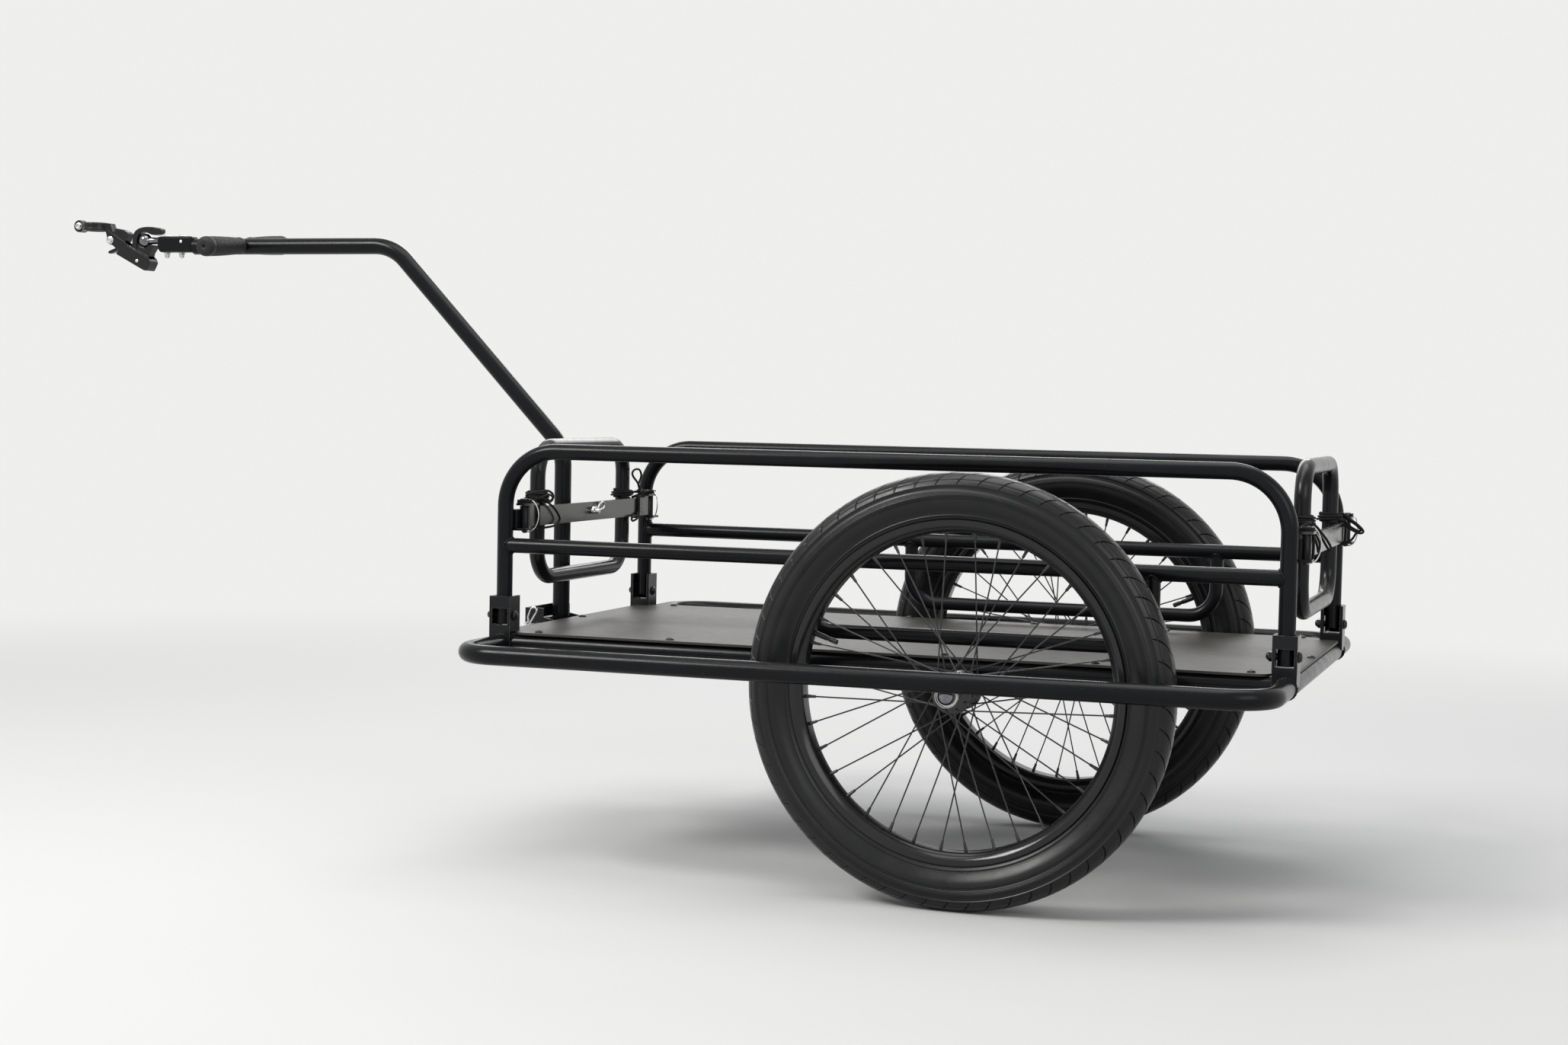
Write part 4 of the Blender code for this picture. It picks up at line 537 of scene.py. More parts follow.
# Gate hoop paint: a strongly paler top, partly a real dusting and partly a painted highlight along the hoop
# tops.
DUST_AND_TOP_LIGHT_PAINT = (coated(
    "dust_and_top_light_paint_look", (0.0036, 0.004, 0.005), (0.006, 0.0066, 0.008), (0.18, 0.27),
    top_dust_and_light=0.75, gloss=0.22), "frame_paint")
DECK = (coated(
    "deck_look", (0.039, 0.0364, 0.032), (0.0455, 0.0425, 0.0373), (0.38, 0.44), 900, 0.00003,
    top_dust_and_light=0.06, gloss=0.2, edge=0.3), "deck_board")
RIM = (coated(
    "rim_look", (0.008, 0.0082, 0.009), (0.0115, 0.012, 0.013), (0.12, 0.2), 1800, 0.00001,
    gloss=0.35), "rim_black")
SPOKE = (coated(
    "spoke_look", (0.006, 0.006, 0.0066), (0.011, 0.011, 0.0118), (0.2, 0.32), 1500, 0.00001,
    gloss=0.6), "spoke_black")
BLACK_STEEL = (coated(
    "black_steel_look", (0.005, 0.005, 0.0056), (0.0095, 0.0095, 0.0105), (0.2, 0.34), 1600,
    gloss=0.3, edge=0.5), "black_steel")
GATE_PIN = (BLACK_STEEL[0], "bright_steel")
STEEL = (metal("zinc_look", (0.5, 0.5, 0.49), (0.7, 0.7, 0.68), (0.18, 0.36)), "bright_steel")
CHROME = (metal("chrome_look", (0.15, 0.15, 0.165), (0.23, 0.23, 0.25), (0.06, 0.14)), "chrome_ball")
TYRE = (rubber(
    "tyre_look", (0.0036, 0.004, 0.0048), (0.0076, 0.008, 0.0088), (0.24, 0.4), 1100, 0.00006,
    True), "tyre_rubber")
GRIP = (rubber(
    "grip_look", (0.006, 0.006, 0.0066), (0.0105, 0.0105, 0.0112), (0.4, 0.56), 1500, 0.00004),
    "grip_rubber")
CORD = (braid("cord_look", (0.0022, 0.0022, 0.0025), (0.0085, 0.0085, 0.0092)), "black_cord")

# These two dress solids that stay as they are
PLATE_PAINT = coated(
    "plate_paint_look", (0.0034, 0.0038, 0.0048), (0.006, 0.0066, 0.008), (0.18, 0.28),
    top_dust_and_light=0.3, gloss=0.25, edge=0.9)
# Gate bar paint: its lighter, warm olive-grey colour is a painted reflection of grass and wall on the bar.
FLAT_PAINT_PAINTED_REFLECTION = coated(
    "flat_bar_painted_reflection_look", (0.018, 0.0175, 0.0145), (0.03, 0.029, 0.024), (0.16, 0.24),
    top_dust_and_light=0.3, gloss=0.75, edge=0.6)

# Base frame and outriggers
frame_corners = rectangle(REAR_X, FRONT_X, -FRAME_Y, FRAME_Y)
frame_path = arcs([(x, y, FRAME_Z) for x, y in frame_corners], 0.014, True, 10)
solids = [
    sweep(frame_path, FRAME_R, TUBE_SIDES, (0, 0, 1), True),
    bar((0, -AXLE_TUBE_END, AXLE_Z), (0, AXLE_TUBE_END, AXLE_Z), AXLE_TUBE_R, TUBE_SIDES),
]
welds = []
sleeve = mm(((15, 240.5), (17.5, 242.5), (17.5, 260.8), (16.8, 262.2), (14.2, 262.4)))
for hand, side in SIDES:
    solids.append(turned(sleeve, (0, 0, AXLE_Z), (0, side, 0)))
    welds.append(ring_bead(0, side * 0.241, AXLE_Z + 0.001, 0.0148, 0.0017, hand + "sleeve"))
    welds.append(ring_bead(0, side * 0.2155, AXLE_Z + 0.001, 0.0142, 0.0016, hand + "axle"))
    for end, tube_x in (("front", FRONT_X), ("rear", REAR_X)):
        welds.append(ring_bead(tube_x, side * RAIL_FACE_Y, FRAME_Z, FRAME_R * 1.01, 0.0016, hand + end))
piece("frame_tubes", BASE, PAINT, solids, "base_frame", 0.0006, 50)
outrigger = hoop(FRONT_X, REAR_X, (RAIL_FACE_Y - 0.0002, FRAME_Z), (OUTRIGGER_Y, FRAME_Z), 0.05, 18)
for hand, side in SIDES:
    piece(f"outrigger_tube_{hand}", BASE, PAINT, [sweep(outrigger, FRAME_R, TUBE_SIDES, (0, 0, 1))],
          f"outrigger_{hand}", side=side)
piece("frame_welds", BASE, PAINT, welds, sharp=80)

# Deck board with its screws
quarters = []
for rail_x, leg_x, towards in ((FRONT_X, LEG_FRONT_X, 1), (REAR_X, LEG_REAR_X, -1)):
    notch = leg_x - towards * (BRACKET_HALF + 0.0005)
    corner = (notch - towards * DECK_CORNER, DECK_Y - DECK_CORNER)
    end_x = rail_x + towards * 0.008
    quarters.append([
        *round_run(corner, DECK_CORNER, 90, -90 * towards, 12),
        (notch, 0.212), (end_x - towards * 0.004, 0.212), (end_x, 0.208)])
outline = [
    *quarters[0], *((x, -y) for x, y in reversed(quarters[0])),
    *((x, -y) for x, y in quarters[1]), *reversed(quarters[1])]
piece("deck_plate", BASE, DECK, [slab(outline, DECK_LOW, DECK_HIGH, True)], "deck_board", 0.0005, 40)


def button_screw(x, y):
    """A low round head with a hexagon socket, on its washer."""
    head = mm(((0.2, 1.3), (1.7, 1.3), (1.9, 2.6)))
    for step in range(7):
        angle = math.radians(62 - 58 * step / 6)
        head.append((0.005 * math.cos(angle), 0.0006 + 0.0023 * math.sin(angle)))
    head.append((0.005, 0.0))
    washer = mm(((5.4, 0), (5.4, 0.6), (4.6, 0.8)))
    return [turned(profile, (x, y, DECK_HIGH), (0, 0, 1), 28) for profile in (head, washer)]


places = [(x, side * 0.2265) for x in (0.568, 0.389, 0.212, 0.036, -0.146, -0.326) for side in (1, -1)]
places.extend(((FRONT_X - 0.004, 0.0), (REAR_X - 0.002, 0.028)))
piece("deck_screws", BASE, BLACK_STEEL, [solid for place in places for solid in button_screw(*place)])


# Side panels with their guards

def rounded_foot(vertices, faces):
    """A hoop whose two ends are cut round about the hinge line on the inward side, to clear the seat."""
    shaped = list(vertices)
    for index in (*range(TUBE_SIDES), *range(len(vertices) - TUBE_SIDES, len(vertices))):
        x, y, z = vertices[index]
        inward = min(y - FRAME_Y, 0.0)
        shaped[index] = Vector((x, y, HINGE_Z - math.sqrt(LEG_END ** 2 - inward ** 2)))
    return shaped, faces


panel_path = hoop(LEG_FRONT_X, LEG_REAR_X, (FRAME_Y, HINGE_Z), (FRAME_Y, PANEL_TOP), 0.07, 20)
guard_path = hoop(GUARD_FRONT_X, GUARD_REAR_X, (FRAME_Y, RAIL_Z - 0.004), (FRAME_Y, GUARD_Z), 0.037, 16)
post = (
    (PIN_BORE, POST_LOW - 0.0015), (POST_R, POST_LOW - 0.0015), (POST_R, POST_HIGH - 0.0004),
    (POST_R - 0.0004, POST_HIGH), (PIN_BORE, POST_HIGH))
for hand, side in SIDES:
    body = f"{hand}_panel"
    solids = [
        rounded_foot(*sweep(panel_path, PANEL_R, TUBE_SIDES, (0, 1, 0))),
        bar((LEG_FRONT_X, FRAME_Y, RAIL_Z), (LEG_REAR_X, FRAME_Y, RAIL_Z), RAIL_R, TUBE_SIDES),
    ]
    welds = []
    for end, leg_x, bar_x in LEGS:
        solids.append(turned(post, (bar_x, POST_Y, 0), (0, 0, 1), closed=True))
        web = rectangle(bar_x + POST_R * 0.4, leg_x - 0.002, POST_Y + 0.002, FRAME_Y - 0.004)
        solids.append(slab(web, POST_LOW - 0.0005, POST_HIGH - 0.004, True))
        corners = rectangle(bar_x - 0.009, leg_x, POST_Y - POST_R - 0.003, FRAME_Y - 0.005)
        tab = arcs([(x, y, 0) for x, y in corners], [0.004, 0.001, 0.001, 0.004], True, 5)
        solids.append(slab([point.xy for point in tab], POST_LOW - 0.003, POST_LOW, True))
        seed = hand + end
        inward = (-1 if end == "front" else 1, 0, 0)
        rail_line = saddle((leg_x, FRAME_Y, RAIL_Z), inward, (0, 0, 1), RAIL_R, PANEL_R)
        welds.append(bead(rail_line, 0.0016, seed + "rail"))
        contact = POST_Y + 0.0155
        web_line = [(leg_x - 0.0068, contact, POST_LOW + 0.001 + 0.0021 * i) for i in range(12)]
        welds.append(bead(web_line, 0.0015, seed + "web", False))
        tab_line = [(leg_x - 0.0085 + 0.0009 * i, contact - 0.0006 * i, POST_LOW + 0.0006)
                    for i in range(10)]
        welds.append(bead(tab_line, 0.0012, seed + "tab", False))
    for end, guard_x in (("front", GUARD_FRONT_X), ("rear", GUARD_REAR_X)):
        guard_line = saddle((guard_x, FRAME_Y, RAIL_Z), (0, 0, -1), (1, 0, 0), GUARD_R, RAIL_R)
        welds.append(bead(guard_line, 0.0015, hand + end + "guard"))
    piece(f"panel_tubes_{hand}", body, PAINT, solids, f"side_panel_{hand}", 0.0004, 50, side=side)
    piece(f"guard_tube_{hand}", body, PAINT, [sweep(guard_path, GUARD_R, TUBE_SIDES, (0, 1, 0))],
          f"wheel_guard_{hand}", side=side)
    piece(f"panel_welds_{hand}", body, PAINT, welds, sharp=80, side=side)

# Hinge bolts: a deep domed nut in front and a low round head behind
for hand, side in SIDES:
    for end, leg_x, _ in LEGS:
        front = Vector((leg_x + BRACKET_HALF + GAP, side * FRAME_Y, HINGE_Z))
        rear = Vector((leg_x - BRACKET_HALF - GAP, side * FRAME_Y, HINGE_Z))
        piece(f"hinge_bolt_set_{end}_{hand}", BASE, BLACK_STEEL, [
            bar(rear, front, 0.004),
            turned(mm(((6.5, 0), (6.5, 0.8), (5.6, 1))), front, (1, 0, 0)),
            hexagon(front, (1, 0, 0), 0.0112, 0.0008, 0.005, 0.3),
            turned([(0.005, 0.0046), *dome(0.0048, 0.005, 0.0034)], front, (1, 0, 0)),
            turned([*mm(((6.6, 0), (6.6, 0.8), (6, 1))), *dome(0.0058, 0.0012, 0.0028)],
                   rear, (-1, 0, 0)),
        ], f"hinge_bolt_{end}_{hand}", 0.0002, 40)

# Gates: hoops, and beads where the flat bars are welded to them
for end, gate_x, bar_x, body in GATES:
    gate_corners = rectangle(-GATE_Y, GATE_Y, GATE_LOW, GATE_TOP)
    gate_path = arcs([(gate_x, y, z) for y, z in gate_corners], 0.04, True, 16)
    piece(f"gate_tube_{end}", body, DUST_AND_TOP_LIGHT_PAINT, [sweep(gate_path, GATE_R, TUBE_SIDES, (1, 0, 0), True)],
          f"{end}_gate_hoop")
    welds = []
    for side in (1, -1):
        for edge in (BAR_LOW, BAR_HIGH):
            line = [(gate_x - GATE_R + 0.0006 + 0.00002 * i * i, side * GATE_Y + 0.0012 * i, edge)
                    for i in range(-5, 6)]
            welds.append(bead(line, 0.0014, end + str(side) + str(edge), False))
    piece(f"gate_welds_{end}", body, PAINT, welds, sharp=80)

# Drawbar with its foot tube and boss, the handle and its grips
drawbar_path = arcs((
    (DRAWBAR_X, 0, FOOT_PIN_Z + 0.002), (DRAWBAR_X, 0, 0.5176), (0.9065, 0, DRAWBAR_TOP),
    (END_X, 0, DRAWBAR_TOP)), 0.065, False, 20)
foot_tube = mirrored(mm(((10, 38.8), (9.4, 39.4), (4.1, 39.4))), 0)
boss_start = BAR_FRONT_X + BAR_HALF + GAP
boss = (
    (PIN_BORE, boss_start), (BOSS_R - 0.0004, boss_start), (BOSS_R, boss_start + 0.0006),
    (BOSS_R, DRAWBAR_X - 0.006), (PIN_BORE, DRAWBAR_X - 0.006))
piece("drawbar_bar", FRONT_GATE, PAINT, [
    sweep(drawbar_path, DRAWBAR_R, 32, (0, 1, 0)),
    turned(foot_tube, (FOOT_PIN_X, 0, FOOT_PIN_Z), (0, 1, 0), closed=True),
    turned(boss, (0, 0, BAR_PIN_Z), (1, 0, 0), 28, True),
], "drawbar_tube", 0.0004, 50)
welds = [bead(saddle((DRAWBAR_X, 0, BAR_PIN_Z), (-1, 0, 0), (0, 0, 1), BOSS_R, DRAWBAR_R), 0.0014, "boss")]
for hand, side in SIDES:
    handle_line = saddle(HANDLE, HANDLE_AXIS * side, (1, 0, 0), HANDLE_R + 0.0002, DRAWBAR_R)
    welds.append(bead(handle_line, 0.0015, f"handle {hand}"))
for side in (1, -1):
    foot_line = [(FOOT_PIN_X - 0.0065, side * 0.0006 * i, FOOT_PIN_Z + 0.009) for i in range(16)]
    welds.append(bead(foot_line, 0.0016, f"foot {side}", False))
piece("drawbar_welds", FRONT_GATE, PAINT, welds, sharp=80)
handle_half = HANDLE_AXIS * HANDLE_HALF
piece("handle_bar", FRONT_GATE, PAINT, [bar(HANDLE - handle_half, HANDLE + handle_half, HANDLE_R, 28)],
      "handle_cross_tube")


def grip_radius(distance):
    """The grip swells from its collar towards the palm and its end."""
    share = min(max((distance - 0.02) / 0.062, 0.0), 1.0)
    return 0.0119 + 0.0019 * math.sin(share * math.pi / 2)


grip = mm(((9.3, 13.6), (11.2, 13.6), (12.1, 14.3), (12.3, 15.8), (12, 17.2)))
for rib in range(17):
    start = 0.019 + rib * 0.0042
    for inset, along in mm(((0.9, 0), (0.2, 0.5), (0, 1), (0, 2.4), (0.2, 2.9), (0.9, 3.4))):
        grip.append((grip_radius(start) - inset, start + along))
grip.extend(mm((
    (13, 91), (13.7, 91.8), (13.9, 93), (13.9, 98.5), (13.5, 100.8), (12.4, 102.7), (10.4, 103.8),
    (6, 104), (2.6, 104), (2.2, 103.6), (2, 102), (0.6, 101.8), (0.6, 99.9), (9.3, 99.9))))
for hand, side in SIDES:
    piece(f"grip_sleeve_{hand}", FRONT_GATE, GRIP, [turned(grip, HANDLE, HANDLE_AXIS * side, 48, True)],
          f"grip_{hand}", sharp=50)

# Wheels: half of each section as (radius, distance from the middle), from the crown or the bed outward
TYRE_HALF = mm((
    (255, 0), (254.9, 4), (254.3, 8), (253.1, 11.5), (251.2, 14.8), (248.4, 18), (246.8, 19.3),
    (246.3, 19.3), (246, 19.8), (244.6, 20.8), (242.4, 22), (241.2, 22.6), (240.5, 22.8), (239.9, 22.4),
    (239.2, 22.1), (237, 22.5), (235, 22.9), (234.2, 23.6), (233.4, 24.4), (232.2, 24.7), (230, 24.9),
    (227.9, 24.8), (227.2, 24.2), (226.6, 24.2), (226.2, 24.6), (225.4, 24.6), (225, 24.1), (224.4, 24.1),
    (224, 24.5), (222.4, 24.4), (220, 24), (217, 22.8), (214, 21.1), (211, 19.2), (208.5, 17.8),
    (206.6, 17), (206, 17.4), (205.2, 17.5), (204.6, 16.8), (203.2, 16), (201.4, 15.2), (201.1, 14.5),
    (199, 14), (195.8, 14)))
RIM_HALF = mm((
    (185.7, 0), (185.6, 8), (185.8, 9.8), (186.6, 11), (192, 15.8), (193.4, 16.6), (194.2, 17),
    (195, 16.8), (195.6, 17), (199, 17.1), (200.2, 17), (200.5, 16.4), (200.4, 15.2), (199.6, 14.8),
    (195.5, 14.8), (195.4, 0)))
HUB_HALF = mm((
    (13.6, 0), (14.2, 19.5), (16, 21.5), (22.4, 23.8), (23, 24.2), (23, 26.8), (22.6, 27.2),
    (15, 29.2), (11.8, 30), (11.2, 34.8), (10, 35.5), (6.3, 35.5)))
NIPPLE = mm(((1.3, 0), (1.7, 1), (1.8, 6), (2.1, 7.2), (2.1, 12)))
SPOKE_HEAD = mm(((1, -5.2), (1, 0.6), (2, 1), (1.7, 1.9), (0.8, 2.3)))
GROOVES = 60
CUT_HALF = 0.036
CUT_DEPTH = 0.0022
SPOKES_A_SIDE = 18


def round_axle(radius, angle, y):
    return radius * math.cos(angle), y, AXLE_Z + radius * math.sin(angle)


def tyre_solid(wheel_y):
    """The tyre, with slanting cuts across both shoulders, half a step apart."""
    section = mirrored(TYRE_HALF)
    shares = [-0.05, -CUT_HALF, CUT_HALF, 0.05, 0.25, 0.45, 0.5 - CUT_HALF, 0.5 + CUT_HALF, 0.55, 0.75]
    vertices = []
    for groove in range(GROOVES):
        for share in shares:
            for radius, distance in section:
                across = abs(distance)
                near = share if distance > 0 else share - 0.5
                lean = 0.0
                depth = 0.0
                if across < 0.0222 and radius > 0.242:
                    reach = min((0.0222 - across) / 0.0182, 1.0)
                    lean = reach * (0.62 + 0.25 * reach)
                    if across > 0.0035 and abs(near) <= CUT_HALF:
                        depth = CUT_DEPTH
                angle = 2 * math.pi * (groove + share + lean) / GROOVES
                vertices.append(round_axle(radius - depth, angle, wheel_y + distance))
    return vertices, rings(GROOVES * len(shares), len(section), True)


def spokes(wheel_y):
    """Crossed spokes from both flanges, each with its head and nipple."""
    solids = []
    for flange in (-1, 1):
        for index in range(SPOKES_A_SIDE):
            turn = 1 if index % 2 else -1
            rim_angle = 2 * math.pi * (index + 0.25 * flange) / SPOKES_A_SIDE
            hub_angle = rim_angle + turn * math.radians(62)
            start = Vector(round_axle(0.0195, hub_angle, wheel_y + flange * 0.0255 + turn * 0.0022))
            end = Vector(round_axle(0.1853, rim_angle, wheel_y + flange * 0.003))
            run = (end - start).normalized()
            solids.append(bar(start, end, 0.0009, 10))
            solids.append(turned(NIPPLE, end - run * 0.0112, run, 12))
            solids.append(turned(SPOKE_HEAD, start + Vector((0, turn * 0.0001, 0)), (0, turn, 0), 12))
    return solids


rim = RIM_HALF + [(radius, -distance) for radius, distance in reversed(RIM_HALF[1:-1])]
valve = mm(((1.2, 154.9), (2.4, 155), (2.8, 155.4), (3, 156)))
for ridge in range(5):
    valve.extend(((0.0032, 0.1566 + ridge * 0.0014), (0.0029, 0.1573 + ridge * 0.0014)))
valve.extend(mm((
    (3.1, 164.2), (3.1, 165), (2.6, 165.2), (2.6, 168), (3.1, 169), (3.2, 174), (3.3, 186),
    (3.4, 194.5))))
for (hand, side), valve_degrees in zip(SIDES, (18.8, 156.3)):
    body = f"{hand}_wheel"
    wheel_y = side * WHEEL_Y
    centre = Vector((0, wheel_y, AXLE_Z))
    across = (0, 1, 0)
    piece(f"tyre_casing_{hand}", body, TYRE, [tyre_solid(wheel_y)], f"tyre_{hand}", sharp=40)
    piece(f"rim_hoop_{hand}", body, RIM, [turned(rim, centre, across, 160, True)], f"rim_{hand}",
          sharp=40)
    hub = turned(mirrored(HUB_HALF), centre, across, 48, True)
    piece(f"hub_laced_{hand}", body, SPOKE, [hub, *spokes(wheel_y)], f"hub_and_spokes_{hand}")
    angle = math.radians(valve_degrees)
    outward = (math.cos(angle), 0, math.sin(angle))
    piece(f"valve_stem_{hand}", body, BLACK_STEEL, [turned(valve, centre, outward, 24)],
          f"valve_{hand}")

# Plug-in axles with their push buttons
stub = mm((
    (4, 190), (6, 192), (6, 338.5), (13, 338.5), (13.8, 339), (13.8, 346.4), (13.6, 347.1),
    (13.3, 347.5), (12.7, 347.5), (12.4, 347.1), (12.1, 344.8), (10.7, 344.8), (10.7, 339.2), (0.2, 339.2)))
cap = mm(((10.4, 342.6), (10.4, 348.2), (10.2, 348.8), (9.8, 348.8), (9.4, 348.2), (9, 347.4)))
cap.extend(dome(0.0088, 0.3478, 0.0038))
for hand, side in SIDES:
    for profile, name, body, surface, replaced in (
            (stub, "axle_pin", BASE, STEEL, "stub_axle"),
            (cap, "axle_cap", f"{hand}_button", CHROME, "axle_button")):
        piece(f"{name}_{hand}", body, surface, [turned(profile, (0, 0, AXLE_Z), (0, side, 0), 48)],
              f"{replaced}_{hand}")

# End fitting with its bolts, and the ball
lower = mm(((-6, 0), (-3.2, 1.6), (-1.1, 4.5), (0, 9)))
upper = mm(((0, -3.5), (-1.6, -1.2), (-5, 0)))
outline = [
    (END_X + GAP, FITTING_LOW), *((FITTING_END + x, FITTING_LOW + z) for x, z in lower),
    *((FITTING_END + x, FITTING_HIGH + z) for x, z in upper), (END_X + GAP, FITTING_HIGH)]
piece("end_socket", FRONT_GATE, PAINT, [
    slab(outline, -FITTING_HALF, FITTING_HALF),
    bar((END_X - 0.012, 0, DRAWBAR_TOP), (END_X + 0.003, 0, DRAWBAR_TOP), 0.0058),
], "drawbar_end_fitting", 0.0035, 40, 5)
rivet = mm(((2.4, 0), (2.3, 0.6), (1.5, 1.2), (0.3, 1.4)))
piece("end_socket_rivets", FRONT_GATE, STEEL, [
    turned(rivet, (1.244, side * FITTING_HALF, 0.7992), (0, side, 0), 24) for side in (1, -1)])
for end, bolt_x in FITTING_BOLTS.items():
    low = Vector((bolt_x, 0, FITTING_LOW - GAP))
    high = Vector((bolt_x, 0, FITTING_HIGH + GAP))
    piece(f"socket_bolt_{end}", FRONT_GATE, STEEL, [
        turned(mm(((4.9, 0), (4.9, 0.7), (4, 0.9))), low, (0, 0, -1)),
        hexagon(low, (0, 0, -1), 0.0078, 0.0007, 0.0036, 0.2),
        turned([*mm(((3.9, 3), (3.8, 3.6))), *dome(0.0037, 0.004, 0.004)], low, (0, 0, -1)),
        turned([*mm(((4.7, 0), (4.6, 0.6))), *dome(0.0043, 0.0007, 0.0013)], high, (0, 0, 1)),
        bar(low, high, 0.0025),
    ], f"fitting_bolt_{end}", 0.0002, 40)
ball = mm((
    (3.8, -33), (3.8, -24.3), (6, -24.3), (6, -22.8), (5.4, -21.4), (5, -19.5), (4.9, -16),
    (5, -12.5), (5.3, -10.4)))
ball.extend(round_run((0, 0), BALL_R, -58, 144, 21))
piece("tow_ball", "ball", CHROME, [turned(ball, BALL, (1, 0, 0), 56)], "hitch_ball")

# Hitch outlines, in millimetres forward and up from the ball
CUP = (
    (-18, -6.5), *round_run((0, 0), 10.8, 218, 104, 12), (10, -6.5), (10.5, -11), (9.5, -21.5),
    (-9.8, -22.5), (-11, -18), (-15.5, -11.5))
CHEEK = (
    (62, 0.7), (61.6, 3.8), (59.4, 7), (59.4, 15.4), (45.3, 6.8), (26.6, -5.2), (7.9, -14.4),
    (-10, -23), (-9.5, -25.5), (3.5, -31), (6, -32.6), (8.5, -33.1), (11, -32.6), (13, -30.6),
    (24, -19), (33, -13.5), (45.2, -11.7), (52, -6.2), (56, -5.6), (59.6, -4))
ARM = (
    (49, 12), (48.2, 16.8), (45.6, 17.8), (39.5, 16.8), (33.1, 15.1), (28.5, 12.7), (26.5, 10),
    (29, 0), (40, -9.5), (47, -9.5), (47.5, 2))
TONGUE = (
    (42, -6), (46.5, -9), (60.7, -14.3), (62.3, -16), (62, -17.8), (60, -18.3), (56, -17.8),
    (47, -14), (41, -11))
CLAW = (
    (20.5, -11), (19.7, -7.7), (19.6, 1.5), (19, 6.2), (17.5, 10.4), (15, 13.8), (11.7, 16.3),
    (7.5, 18.2), (1.7, 19.5), (-6, 20.1), (-14, 19.8), (-21.4, 18.8), (-26.8, 17.8), (-28.6, 16.6),
    (-29.2, 14.6), (-28.4, 11.2), (-26.2, 9.4), (-22.6, 8.4), (-20, 8), (-16.5, 8.1), (-12.2, 8.6),
    (-6.8, 10.9), (-1.4, 12.6), (3, 12.4), (6.8, 10.4), (9.5, 7), (10.9, 3), (11.6, -3),
    (11.6, -10), (11.3, -14.5), (12.1, -17.2), (14, -19), (16.5, -19.7), (19, -19), (20.9, -17.2),
    (21.4, -14.5))
LEVER_EDGE = ((-13.6, -30.4), (-13.4, -33), (-8.8, -42), (-7, -43.4), (-3, -43), (5, -39.1))
LEVER = (
    (43.8, -19.6), (43.6, -17.8), (39.2, -12.4), (37.7, -11.2), (25.3, -7), (-10.5, -24.9), (-11.8, -26.2),
    *LEVER_EDGE)
LEVER_WALL = (
    (-11.8, -26.5), *LEVER_EDGE, (4.2, -36.8), (-2, -39.6), (-5.5, -40.4), (-10.6, -31.8), (-9.2, -26.8))


def at_ball(outline, low, high):
    """A slab with an outline measured from the ball."""
    return slab([(BALL.x + x, BALL.z + z) for x, z in mm(outline)], low, high)


core = CHEEK_IN + 0.0002
wall = LEVER_OUT - 0.0002
head = [at_ball(CUP, -core, core), at_ball(ARM, -core, core), at_ball(TONGUE, -0.0035, 0.0035)]
lever = [at_ball(LEVER_WALL, -wall, wall)]
for side in (1, -1):
    head.append(at_ball(CHEEK, side * CHEEK_IN, side * CHEEK_OUT))
    lever.append(at_ball(LEVER, side * LEVER_IN, side * LEVER_OUT))
claw = [at_ball(CLAW, -CLAW_HALF, CLAW_HALF)]
piece("coupling_head", "hitch", BLACK_STEEL, head, "hitch_head", 0.0004, 40)
piece("coupling_claw", "claw", BLACK_STEEL, claw, "hitch_claw", 0.0014, 50, 3)
piece("coupling_lever", "lever", BLACK_STEEL, lever, "hitch_lever", 0.0007, 40, 3)
pins = []
for x, z, reach, size in ((0.0165, -0.0145, CHEEK_OUT, 0.003), (0.0085, -0.0293, LEVER_OUT, 0.0027)):
    ends = [BALL + Vector((x, side * reach, z)) for side in (-1, 1)]
    pins.append(bar(*ends, 0.0023))
    for side, place in zip((-1, 1), ends):
        pins.append(turned([(size, 0.0), *dome(size * 0.95, 0.0003, 0.0009)], place, (0, side, 0), 24))
piece("coupling_pins", "hitch", STEEL, pins)

# Seat-post clamp in two halves: each a shell with two raised bands and two ears
for hand, side in SIDES:
    solids = []
    for outer, inner, bottom, top in (
            (CLAMP_R, CLAMP_BORE, CLAMP_LOW, CLAMP_HIGH),
            (CLAMP_R + 0.0007, CLAMP_R - 0.001, CLAMP_LOW + 0.0014, CLAMP_LOW + 0.0036),
            (CLAMP_R + 0.0007, CLAMP_R - 0.001, CLAMP_HIGH - 0.0036, CLAMP_HIGH - 0.0014)):
        outline = round_run((CLAMP_X, 0), outer, 0.6, 178.8, 36)
        outline += round_run((CLAMP_X, 0), inner, 179.4, -178.8, 36)
        solids.append(slab([(x, side * y) for x, y in outline], bottom, top, True))
    front_ear = [
        (CLAMP_X + CLAMP_R - 0.003, CLAMP_HIGH - 0.001), (CLAMP_X + CLAMP_R - 0.003, CLAMP_LOW + 0.001),
        *round_run((FRONT_BOLT.x, FRONT_BOLT.z), 0.0088, -100, 200, 16)]
    rear_ear = [
        (CLAMP_X - CLAMP_R + 0.003, CLAMP_HIGH - 0.001), (REAR_BOLT.x + 0.0017, CLAMP_HIGH - 0.001),
        *round_run((REAR_BOLT.x, REAR_BOLT.z), 0.006, 180, 180, 16)]
    for ear in (front_ear, rear_ear):
        solids.append(slab(ear, side * GAP / 2, side * CLAW_HALF))
    piece(f"clamp_shell_{hand}", "clamp", BLACK_STEEL, solids, f"clamp_half_{hand}", 0.0006, 40, 3)


